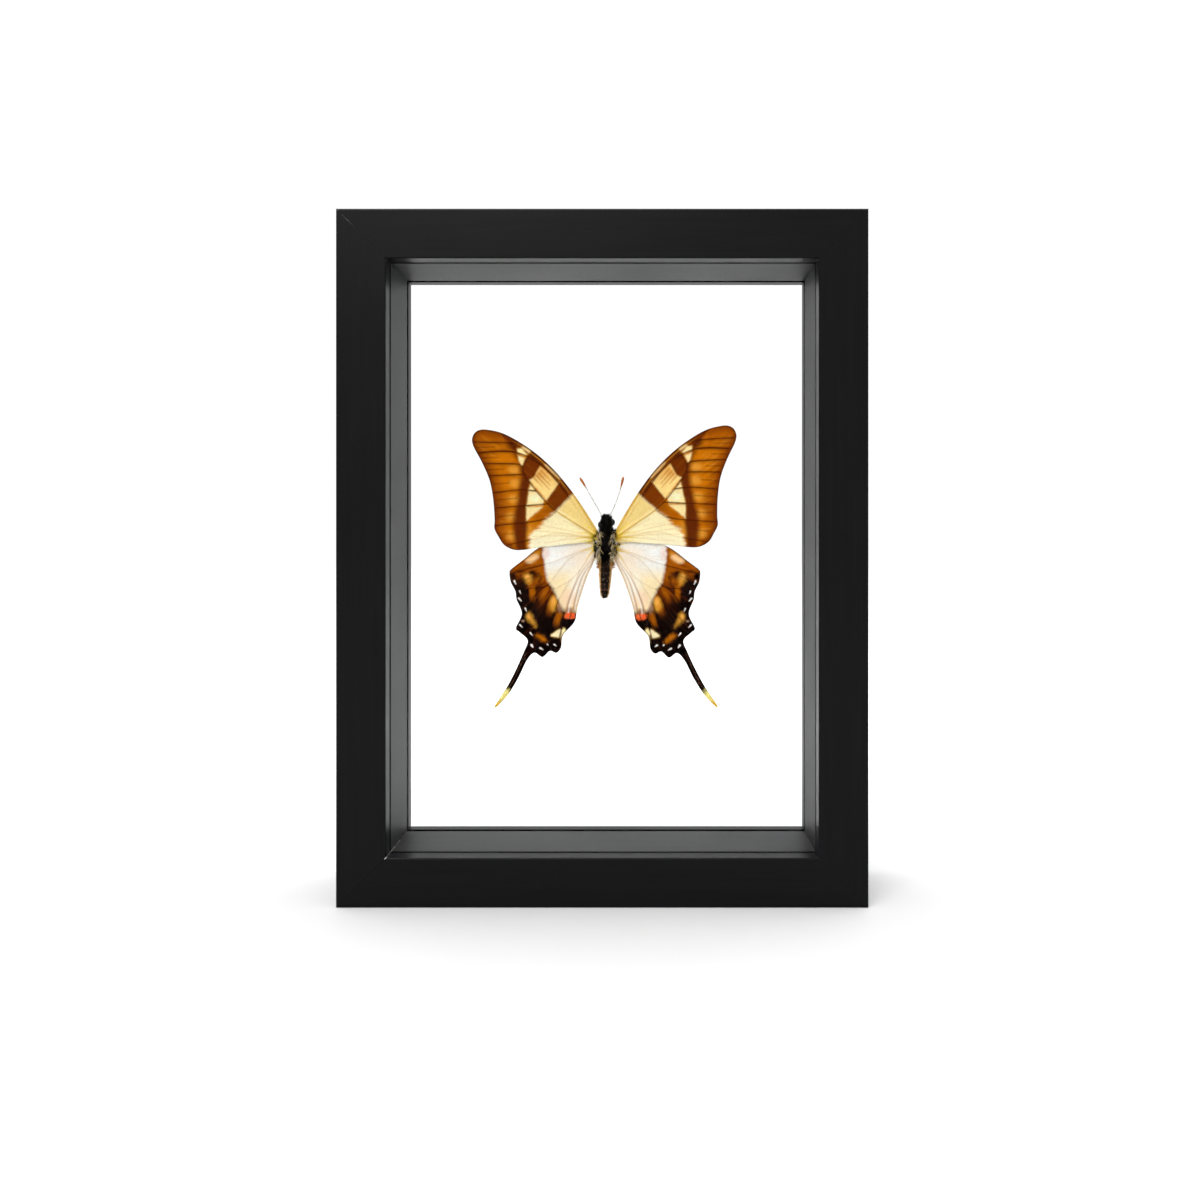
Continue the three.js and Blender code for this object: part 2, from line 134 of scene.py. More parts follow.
def srgb(red, green, blue):
    """A colour on the 0 to 255 scale of a screen, as linear light."""
    c = np.array([red, green, blue]) / 255.0
    return np.where(c <= 0.04045, c / 12.92, ((c + 0.055) / 1.055) ** 2.4)


def rgba(colour):
    return (*[float(c) for c in colour], 1.0)


class Nodes:
    """The node tree of a material or a world. Its calls take and return the nodes' outputs."""

    def __init__(self, owner):
        owner.use_nodes = True
        self.owner = owner
        self.tree = owner.node_tree

    def feed(self, node, inputs):
        """Give a node's inputs their values, or join them to other nodes' outputs."""
        for socket, value in inputs.items():
            if isinstance(value, bpy.types.NodeSocket):
                self.tree.links.new(value, node.inputs[socket])
            else:
                node.inputs[socket].default_value = value
        return node

    def add(self, kind, inputs, **settings):
        node = self.tree.nodes.new(kind)
        for key, value in settings.items():
            setattr(node, key, value)
        return self.feed(node, inputs)

    def place(self, kind="Object"):
        return self.add("ShaderNodeTexCoord", {}).outputs[kind]

    def axes(self, kind="Object"):
        """The x, y and z of the place that is shaded."""
        return self.add("ShaderNodeSeparateXYZ", {"Vector": self.place(kind)}).outputs

    def calc(self, operation, *terms):
        return self.add("ShaderNodeMath", dict(enumerate(terms)), operation=operation).outputs[0]

    def noise(self, scale, detail, stretch=(1.0, 1.0, 1.0)):
        """Noise in the object's own metres, with features about 1 / scale across."""
        mapping = self.add("ShaderNodeMapping", {"Vector": self.place(), "Scale": stretch})
        inputs = {"Vector": mapping.outputs[0], "Scale": scale, "Detail": detail}
        return self.add("ShaderNodeTexNoise", inputs).outputs["Fac"]

    def spread(self, value, before, after, **settings):
        """A value's range before, spread over the range after and held to it."""
        names = ("From Min", "From Max", "To Min", "To Max")
        ends = dict(zip(names, (*before, *after)))
        return self.add("ShaderNodeMapRange", {"Value": value, **ends}, **settings).outputs["Result"]

    def tones(self, value, positions, colours):
        """Two colours, each at its position in the value's range, and the mixes between them."""
        ramp = self.add("ShaderNodeValToRGB", {"Fac": value})
        for element, position, colour in zip(ramp.color_ramp.elements, positions, colours):
            element.position = position
            element.color = rgba(colour)
        return ramp.outputs["Color"]

    def mix(self, share, first, second, blend="MIX"):
        inputs = {0: share, 6: first, 7: second}
        return self.add("ShaderNodeMix", inputs, data_type="RGBA", blend_type=blend).outputs[2]

    def bump(self, height, strength, distance, under=None):
        inputs = {"Height": height, "Strength": strength, "Distance": distance}
        if under is not None:
            inputs["Normal"] = under
        return self.add("ShaderNodeBump", inputs).outputs["Normal"]


def new_material(name, describe):
    """A material whose Principled shader gets the inputs that describe(nodes) returns."""
    n = Nodes(bpy.data.materials.new(name))
    n.feed(n.tree.nodes["Principled BSDF"], describe(n))
    return n.owner


# Painted highlight on two mitre seams: how near the line, in metres, and which part of the noise, is lit
SEAM_HIGHLIGHT_GAPS = (0.00006, 0.0002)
SEAM_HIGHLIGHT_BREAKS = (0.4, 0.62)
BREAKS_SCALE = 420.0
SEAM_HIGHLIGHT = srgb(190, 186, 180)
OUTER_SEAM_HIGHLIGHT = 0.12


def seam_highlight_line(n, slope, height, reach, back):
    """0 to 1 along a mitre line on the left side: a painted highlight where light catches the seam, in short
    breaks.

    It keeps to a reach of x and lies in front of a depth, both in millimetres.
    """
    x, y, z = n.axes()
    mitre = n.calc("MULTIPLY_ADD", z, slope, height - 0.5 * FRAME_WIDTH * MM)
    gap = n.calc("ABSOLUTE", n.calc("SUBTRACT", x, mitre))
    near = n.spread(gap, SEAM_HIGHLIGHT_GAPS, (1.0, 0.0))
    middle = 0.5 * (reach[0] + reach[1]) * MM
    half = 0.5 * (reach[1] - reach[0]) * MM
    within = n.calc("MULTIPLY", n.calc("COMPARE", x, middle, half), n.calc("LESS_THAN", y, back * MM))
    breaks = n.spread(n.noise(BREAKS_SCALE, detail=2.0), SEAM_HIGHLIGHT_BREAKS, (0.0, 1.0))
    return n.calc("MULTIPLY", n.calc("MULTIPLY", near, within), breaks)


def lacquer_material(name, grain_axis, tone, rough, specular, streak):
    """Satin black lacquer over wood, with faint grain along the rail and a painted highlight along two mitre
    seams.
    """
    def describe(n):
        stretch = [1.0, 1.0, 1.0]
        stretch[grain_axis] = 0.02
        grain = n.noise(scale=1500.0, detail=4.0, stretch=stretch)
        spray = n.noise(scale=2600.0, detail=1.0)
        mottle = n.noise(scale=45.0, detail=3.0)
        streaked = n.tones(grain, (0.3, 0.7), (tone * (1.0 - streak), tone * (1.0 + streak)))
        # Painted highlight: a pale line on the lower left mitre across the lip and spacer, and faintly on
        # the upper left mitre of the face
        inner = seam_highlight_line(n, slope=1.0, height=0.0, reach=(-65.3, -62.0), back=10.0)
        outer = seam_highlight_line(n, slope=-1.0, height=FRAME_HEIGHT * MM, reach=(-79.0, -74.0), back=-17.0)
        seam_lit = n.calc("MULTIPLY_ADD", outer, OUTER_SEAM_HIGHLIGHT, inner)
        sprayed = n.bump(spray, strength=0.02, distance=0.00002)
        return {
            "Base Color": n.mix(seam_lit, streaked, rgba(SEAM_HIGHLIGHT)),
            "Roughness": n.spread(mottle, (0.0, 1.0), (rough - 0.05, rough + 0.05)),
            "Normal": n.bump(grain, strength=0.2 * streak, distance=0.00003, under=sprayed),
            "Specular IOR Level": specular,
        }
    return new_material(name, describe)


def glass_material():
    """Clear glass, faintly green, with a coat that keeps reflections low."""
    return new_material("float_glass", lambda n: {
        "Base Color": (0.996, 1.0, 0.997, 1.0), "Roughness": 0.0, "IOR": 1.5, "Transmission Weight": 1.0,
        "Specular Tint": (0.01, 0.01, 0.01, 1.0),
    })


def pigment_material(name, rough, grain_scale, grain_depth, specular):
    """Colour held on the mesh's points, broken up by fine grain."""
    def describe(n):
        pigment = n.add("ShaderNodeVertexColor", {}, layer_name="pigment").outputs["Color"]
        grain = n.noise(grain_scale, detail=2.0)
        shade = n.tones(grain, (0.25, 0.75), ([1.0 - grain_depth] * 3, [1.0] * 3))
        return {
            "Base Color": n.mix(1.0, pigment, shade, "MULTIPLY"),
            "Normal": n.bump(grain, strength=0.25, distance=0.00004),
            "Roughness": rough,
            "Specular IOR Level": specular,
        }
    return new_material(name, describe)


def glue_material():
    """Set clear glue with a little haze."""
    return new_material("clear_glue", lambda n: {
        "Roughness": n.spread(n.noise(scale=700.0, detail=3.0), (0.0, 1.0), (0.08, 0.28)),
        "Base Color": (0.95, 0.93, 0.86, 1.0), "IOR": 1.48, "Transmission Weight": 0.9,
    })


# Shapes made from arrays of points

def spline(points, steps):
    """A smooth open curve through the points, with this many steps to each stretch."""
    p = np.asarray(points, float)
    p = np.vstack([2 * p[0] - p[1], p, 2 * p[-1] - p[-2]])
    t = np.linspace(0.0, 1.0, steps, endpoint=False)[:, None]
    runs = []
    for a, b, c, d in zip(p[:-3], p[1:-2], p[2:-1], p[3:]):
        runs.append(0.5 * (2 * b + (c - a) * t + (2 * a - 5 * b + 4 * c - d) * t ** 2
                           + (3 * b - a - 3 * c + d) * t ** 3))
    return np.vstack(runs + [p[-2:-1]])


def even_steps(points, step):
    """The same line with its points an even step apart."""
    gaps = np.linalg.norm(np.diff(points, axis=0), axis=1)
    along = np.concatenate([[0.0], np.cumsum(gaps)])
    marks = np.linspace(0.0, along[-1], max(2, int(round(along[-1] / step)) + 1))
    return np.stack([np.interp(marks, along, column) for column in points.T], axis=1)


def rounded(corners, rounds=2):
    """A closed outline with its corners cut back into curves."""
    p = np.asarray(corners, float)
    for _ in range(rounds):
        q = np.roll(p, -1, axis=0)
        p = np.stack([0.75 * p + 0.25 * q, 0.25 * p + 0.75 * q], axis=1).reshape(-1, 2)
    return p


def nearest_on(points, line):
    """Each point's distance to a line of joined stretches, its place along it from 0 to 1, and its side.

    The side is 1 on the outer side of a line drawn from top to bottom, and -1 on the inner.
    """
    best = np.full(len(points), 1e9)
    place = np.zeros(len(points))
    side = np.zeros(len(points))
    lengths = np.linalg.norm(np.diff(line, axis=0), axis=1)
    starts = np.concatenate([[0.0], np.cumsum(lengths)])
    for a, b, start, length in zip(line[:-1], line[1:], starts, lengths):
        ab = b - a
        away = points - a
        t = np.clip((away @ ab) / max(ab @ ab, 1e-12), 0.0, 1.0)
        distance = np.hypot(*(away - t[:, None] * ab).T)
        nearer = distance < best
        best[nearer] = distance[nearer]
        place[nearer] = (start + t[nearer] * length) / starts[-1]
        side[nearer] = np.sign(ab[0] * away[nearer, 1] - ab[1] * away[nearer, 0])
    return best, place, side


def line_distance(points, line):
    distance, place, _ = nearest_on(points, line)
    return distance, place


def side_distance(points, line):
    """Distance to an open line, positive on its outer side and negative on its inner."""
    distance, _, side = nearest_on(points, line)
    return side * distance


def inside(points, loop):
    """Whether each point lies inside a closed loop."""
    hits = np.zeros(len(points), bool)
    x, z = points.T
    for (x0, z0), (x1, z1) in zip(loop, np.roll(loop, -1, axis=0)):
        if z0 == z1:
            continue
        crosses = (z0 > z) != (z1 > z)
        hits ^= crosses & (x < (x1 - x0) * (z - z0) / (z1 - z0) + x0)
    return hits


def depth_inside(points, loop):
    """Distance to a closed loop, positive inside and negative outside."""
    distance, _ = line_distance(points, np.vstack([loop, loop[:1]]))
    return np.where(inside(points, loop), distance, -distance)


def ease(low, high, value):
    """0 at low, 1 at high, held beyond them, and a smooth step between."""
    t = np.clip((value - low) / (high - low), 0.0, 1.0)
    return t * t * (3 - 2 * t)


NOISE_CELLS = 97


def value_noise(u, v, seed):
    """A smooth random field from -1 to 1 with features about one unit across."""
    size = NOISE_CELLS
    table = np.random.default_rng(seed).uniform(-1.0, 1.0, (size, size))
    i, j = np.floor(u).astype(int), np.floor(v).astype(int)
    f, g = u - i, v - j
    f, g = f * f * (3 - 2 * f), g * g * (3 - 2 * g)
    a, b = table[i % size, j % size], table[(i + 1) % size, j % size]
    c, d = table[i % size, (j + 1) % size], table[(i + 1) % size, (j + 1) % size]
    return (a * (1 - f) + b * f) * (1 - g) + (c * (1 - f) + d * f) * g


def make_piece(name, points, faces, material, replaces=(), colours=None):
    """A mesh piece of the object, in the frame's millimetres, riding on its one body."""
    mesh = bpy.data.meshes.new(name)
    mesh.from_pydata((np.asarray(points) * MM).tolist(), [], [list(map(int, f)) for f in faces])
    mesh.validate()
    if colours is not None:
        layer = mesh.color_attributes.new("pigment", "FLOAT_COLOR", "POINT")
        values = np.ones((len(points), 4), np.float32)
        values[:, :3] = np.clip(colours, 0.0, 1.0)
        layer.data.foreach_set("color", values.ravel())
    mesh.polygons.foreach_set("use_smooth", [True] * len(mesh.polygons))
    mesh.materials.append(material)
    piece = bpy.data.objects.new(name, mesh)
    bpy.context.scene.collection.objects.link(piece)
    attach(piece, "root")
    if replaces:
        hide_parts(*replaces)
    return piece


class Build:
    """Points, faces and point colours gathered for one joined mesh."""

    def __init__(self):
        self.points, self.faces, self.colours = [], [], []
        self.count = 0

    def add(self, points, faces, colours):
        points = np.asarray(points, float)
        self.faces += [[int(i) + self.count for i in face] for face in faces]
        self.points.append(points)
        self.colours.append(np.broadcast_to(colours, (len(points), 3)))
        self.count += len(points)

    def piece(self, name, material, slot, replaces=()):
        return make_piece(name, np.vstack(self.points), self.faces, material, replaces,
                          np.vstack(self.colours))


def full_turn(steps):
    return np.linspace(0.0, 2 * math.pi, steps, endpoint=False)


def ring_faces(rings, sides):
    """The four-sided faces between rings of points that follow one another."""
    faces = []
    for r in range(rings - 1):
        for s in range(sides):
            t = (s + 1) % sides
            faces.append((r * sides + s, r * sides + t, (r + 1) * sides + t, (r + 1) * sides + s))
    return faces


def tube(route, radii, sides):
    """Points and faces of a round tube along a route, closed at both ends."""
    route = np.asarray(route, float)
    tangents = np.gradient(route, axis=0)
    tangents /= np.linalg.norm(tangents, axis=1)[:, None]
    across = np.cross(tangents[0], [0.31, 0.17, 0.93])
    rings = []
    angles = full_turn(sides)
    for point, tangent, radius in zip(route, tangents, radii):
        across = across - tangent * (across @ tangent)
        across /= np.linalg.norm(across)
        up = np.cross(tangent, across)
        rings.append(point + radius * (np.cos(angles)[:, None] * across + np.sin(angles)[:, None] * up))
    points = np.vstack(rings + [route[:1], route[-1:]])
    first_cap, last_cap = len(points) - 2, len(points) - 1
    faces = ring_faces(len(route), sides)
    last = (len(route) - 1) * sides
    for s in range(sides):
        t = (s + 1) % sides
        faces.append((first_cap, t, s))
        faces.append((last_cap, last + s, last + t))
    return points, faces


def ellipsoid(centre, radii, around, down):
    """Points and faces of a closed ellipsoid with its poles up and down."""
    centre, radii = np.asarray(centre, float), np.asarray(radii, float)
    polar = np.linspace(0.0, math.pi, down + 1)[1:-1]
    turn = full_turn(around)
    ring = np.stack([np.cos(turn), np.sin(turn)], axis=1)
    points = [[0.0, 0.0, 1.0]]
    for angle in polar:
        points += np.column_stack([ring * math.sin(angle), np.full(around, math.cos(angle))]).tolist()
    points.append([0.0, 0.0, -1.0])
    faces = []
    last = len(points) - 1
    for s in range(around):
        t = (s + 1) % around
        faces.append((0, 1 + s, 1 + t))
        faces.append((last, last - around + t, last - around + s))
        for r in range(down - 2):
            a = 1 + r * around
            faces.append((a + s, a + around + s, a + around + t, a + t))
    return np.array(points) * radii + centre, faces


HAIR_STEPS = ((0.0, 1.0), (0.4, 0.8), (0.75, 0.45))
HAIR_FACES = [(2, 1, 0)] + ring_faces(3, 3) + [(6, 7, 9), (7, 8, 9), (8, 6, 9)]


def hairs(build, rng, roots, ways, lengths, width, colours):
    """Fine straight hairs, each a three-sided spike that narrows in three steps."""
    ways = ways / np.linalg.norm(ways, axis=1)[:, None]
    side = np.cross(ways, rng.normal(size=ways.shape))
    side /= np.linalg.norm(side, axis=1)[:, None]
    lift = np.cross(ways, side)
    for root, way, s, u, length, colour in zip(roots, ways, side, lift, lengths, colours):
        points = []
        for t, taper in HAIR_STEPS:
            middle = root + way * length * t
            for k in range(3):
                angle = k * 2 * math.pi / 3
                points.append(middle + width * taper * (math.cos(angle) * s + math.sin(angle) * u))
        points.append(root + way * length)
        build.add(points, HAIR_FACES, colour)


# Wings

class Paint:
    """Colour on a wing's points, laid on in coats with soft, slightly wandering edges."""

    def __init__(self, points, seed, ground):
        self.points = points
        self.rgb = np.tile(ground, (len(points), 1))
        x, z = points.T
        coarse = value_noise(x / 1.1, z / 1.1, seed)
        fine = value_noise(x / 0.45, z / 0.45, seed + 1)
        self.wander = 0.6 * coarse + 0.4 * fine

    def coat(self, colour, mask):
        self.rgb += (colour - self.rgb) * np.clip(mask, 0.0, 1.0)[:, None]

    def shape(self, corners, soft, wander=0.12, rounds=2):
        """Mask of an outline's inside."""
        depth = depth_inside(self.points, rounded(corners, rounds))
        return ease(-soft, soft, depth + wander * self.wander)

    def patch(self, colour, corners, soft=0.3, strength=1.0, wander=0.12, rounds=2):
        self.coat(colour, strength * self.shape(corners, soft, wander, rounds))

    def stroke(self, route, width, soft=0.12, taper=0.4, wander=0.03):
        """Mask of a line that narrows along its route to a share of its width."""
        distance, place = line_distance(self.points, spline(route, 8))
        half = 0.5 * width * (1.0 - (1.0 - taper) * place)
        return 1.0 - ease(half - soft, half + soft, distance + wander * self.wander)

    def trail(self, start, end, width):
        """Mask of a soft smear, full at its start and gone at its end."""
        distance, place = line_distance(self.points, np.array([start, end]))
        return ease(width, 0.25 * width, distance + 0.35 * self.wander) * (1.0 - ease(0.25, 1.0, place))

    def glow(self, centre, reach):
        """A soft round mask that fades to nothing at its reach, which may differ across and up."""
        away = np.hypot(*((self.points - centre) / np.asarray(reach, float)).T)
        return 1.0 - ease(0.2, 1.0, away)

    def glows(self, table, mask=1.0):
        """A coat for each row of a table of colours, strengths, centres and reaches."""
        for colour, strength, centre, reach in table:
            self.coat(colour, strength * mask * self.glow(centre, reach))

    def grained(self, amount, seed):
        """The finished colour with the speckle of single scales."""
        speckle = np.random.default_rng(seed + 3).normal(size=(len(self.points), 1))
        return self.rgb * (1.0 + amount * np.clip(speckle, -2.0, 2.0))


AMBER = srgb(200, 111, 2)
LIGHT_AMBER = srgb(228, 158, 52)
DEEP_AMBER = srgb(162, 80, 1)
BROWN = srgb(110, 44, 2)
BAND_BROWN = srgb(100, 36, 3)
DARK_BROWN = srgb(66, 24, 3)
BLACK_BROWN = srgb(16, 5, 3)
CREAM = srgb(252, 236, 186)
WARM_CREAM = srgb(240, 208, 126)
LIGHT_CREAM = srgb(255, 246, 216)
HIND_CREAM = srgb(252, 229, 180)
WINDOW = srgb(248, 224, 158)
WINDOW_LIGHT = srgb(250, 246, 202)
COSTAL_SAND = srgb(232, 194, 128)
CELL_GOLD = srgb(250, 216, 136)
ROOT_YELLOW = srgb(236, 202, 58)
GOLD = srgb(208, 158, 40)
SPOT_GOLD = srgb(246, 180, 80)
PEACH = srgb(248, 206, 152)
PALE_PEACH = srgb(248, 212, 178)
PEARL = srgb(245, 244, 240)
ROSE_GREY = srgb(238, 208, 196)
IVORY = srgb(255, 246, 228)
WARM_IVORY = srgb(255, 240, 216)
BUFF = srgb(244, 222, 194)
SAND = srgb(230, 200, 156)
MUD = srgb(140, 88, 48)
GREY_MAUVE = srgb(206, 160, 132)
WHITE_SPOT = srgb(246, 240, 236)
ORANGE_RED = srgb(240, 100, 46)
LIGHT_ORANGE = srgb(255, 128, 84)
DEEP_ORANGE = srgb(226, 66, 28)
TIP_YELLOW = srgb(252, 234, 140)
TIP_ORANGE = srgb(246, 190, 60)
TAIL_RIDGE = srgb(84, 54, 40)
VEIN_TAN = srgb(206, 176, 132)
RIM_TAN = srgb(196, 146, 84)
# Painted shade and painted highlight for the hindwing folds
FOLD_CREASE_SHADE = srgb(170, 116, 76)
FOLD_HIGHLIGHT = srgb(255, 250, 240)
UNDERSIDE_PALE = srgb(246, 232, 206)
SCALE_SPECKLE = 0.05

# Forewing markings, in the outlines' millimetres
FOREWING_ROOT = np.array((4.0, 6.0))
FOREWING_STREAKS = 42.0
FOREWING_BASE_EDGE = [
    (9.9, 17.5), (11.1, 16.4), (15.6, 12.0), (19.6, 9.1), (20.7, 7.2), (23.8, 5.2), (24.9, 3.0),
    (24.9, -3.0), (0.0, -3.0), (0.0, 8.0), (7.0, 16.0),
]
CELL_BAR = [(15.2, 20.9), (13.6, 22.6), (9.4, 17.8), (11.1, 16.2), (15.6, 11.7), (19.3, 15.3)]
CELL_END_BAR = [
    (24.5, 29.9), (22.6, 31.4), (19.4, 28.2), (20.8, 25.8), (22.8, 22.5), (24.2, 21.5), (26.2, 23.2),
    (27.2, 25.8), (25.6, 28.7),
]
CELL_WINDOW = [(20.9, 26.3), (15.0, 20.8), (19.1, 15.4), (24.4, 21.9), (22.8, 22.9)]
COSTAL_WINDOW = [(20.0, 27.0), (18.8, 27.0), (14.2, 22.3), (14.8, 21.6)]
SMALL_WINDOWS = [
    [(26.2, 32.6), (23.8, 31.2), (24.3, 30.6), (26.5, 32.0)],
    [(28.0, 31.9), (26.6, 31.9), (25.0, 30.2), (25.8, 29.7), (27.9, 30.8)],
    [(27.9, 29.9), (25.7, 28.9), (26.7, 26.6), (27.6, 28.2)],
    [(24.0, 20.7), (22.3, 18.5), (24.6, 18.9)],
    [(24.6, 18.3), (22.2, 18.4), (19.8, 15.9), (20.3, 13.8), (25.4, 13.8)],
    [(25.5, 13.3), (20.4, 13.2), (25.5, 8.9)],
]
POSTDISCAL_OUTER = [
    (31.9, 35.0), (30.3, 32.7), (28.3, 29.2), (27.2, 26.3), (27.0, 23.1), (27.5, 19.4), (28.2, 15.1),
    (29.1, 11.4), (29.7, 7.9), (29.5, 3.4), (28.9, -1.0),
]
POSTDISCAL_INNER = [
    (27.4, 34.6), (27.9, 31.4), (26.6, 26.4), (24.2, 22.0), (24.4, 19.3), (24.9, 15.3), (25.3, 11.3),
    (25.5, 7.9), (25.8, 4.7), (26.0, -1.0),
]
FOREWING_ROOT_RAYS = [
    [(2.8, 4.0), (5.0, 5.9), (7.2, 7.6)],
    [(2.8, 3.4), (6.0, 4.4), (9.6, 5.0)],
    [(2.8, 2.9), (6.0, 3.2), (9.8, 3.0)],
    [(2.8, 2.4), (5.5, 2.2), (8.4, 2.0)],
]
RAY_START = (4.0, 3.0)
RAY_ARCH = 0.4
FOREWING_RAY_ENDS = [(21.5, 7.4), (22.8, 5.6), (23.6, 3.8), (20.0, 1.6), (14.0, 8.8)]
CELL_TOP = np.array((21.9, 23.4))
CELL_ALONG = np.array((0.67, 0.74))
CELL_ACROSS = np.array((0.74, -0.67))
# Each streak's place across the cell, its length and its strength
CELL_STREAKS = ((-1.9, 4.2, 0.7), (-0.8, 5.2, 0.85), (0.2, 6.0, 0.8), (1.3, 3.6, 0.65))
AMBER_GLINTS = [(29.2, 25.2), (28.9, 20.9), (29.5, 15.8), (30.4, 10.3), (30.2, 4.0)]
# Glows: colour, strength, centre and reach
OUTER_FIELD_GLOWS = [
    (DEEP_AMBER, 0.3, (37.0, 35.0), (9.0, 6.0)),
    *[(LIGHT_AMBER, 0.7, centre, (3.0, 2.3)) for centre in AMBER_GLINTS],
    (BROWN, 0.4, (33.8, 12.5), (4.4, 10.0)),
]
INNER_FIELD_GLOWS = [
    (BROWN, 0.55, (17.6, 12.2), (4.8, 3.2)),
    (DEEP_AMBER, 0.8, (21.0, 10.0), (4.8, 2.8)),
    (LIGHT_AMBER, 0.6, (24.6, 4.6), (2.4, 4.4)),
]
BAND_TOP_GLOWS = [(DARK_BROWN, 0.5, (30.0, 32.8), (2.8, 2.2))]
BAR_END_GLOWS = [(DARK_BROWN, 0.55, centre, (2.6, 2.4)) for centre in ((23.4, 29.4), (12.4, 19.6))]
WINDOW_GLOWS = [(WINDOW_LIGHT, 0.85, (22.8, 15.9), (2.6, 1.9))]
# Lines along the front edge: how far in, and their colours
COSTAL_LINES = ((0.45, DARK_BROWN), (0.85, LIGHT_AMBER), (1.3, DARK_BROWN))
COSTAL_LINE_WIDTH = 0.17
FOLD_SPAN = (0.55, 0.97)


def mid_folds(branches):
    """The faint fold halfway between each two veins that run side by side to the margin."""
    folds = []
    for upper, lower in zip(branches[:-1], branches[1:]):
        a = even_steps(spline(upper, 6), 0.5)
        b = even_steps(spline(lower, 6), 0.5)
        share = np.linspace(*FOLD_SPAN, 6)
        at = [0.5 * (a[int(s * (len(a) - 1))] + b[int(s * (len(b) - 1))]) for s in share]
        folds.append(np.array(at))
    return folds


def radial_streaks(points, root, seed, fineness):
    """Noise drawn out along lines that run from the wing's root."""
    dx, dz = (points - root).T
    angle, reach = np.arctan2(dz, dx), np.hypot(dx, dz)
    coarse = value_noise(angle * fineness, reach / 9.0, seed)
    fine = value_noise(angle * fineness * 2.7, reach / 5.0, seed + 1)
    return 0.6 * coarse + 0.4 * fine


def middle_of(start, end):
    return (0.5 * (start[0] + end[0]), 0.5 * (start[1] + end[1]))


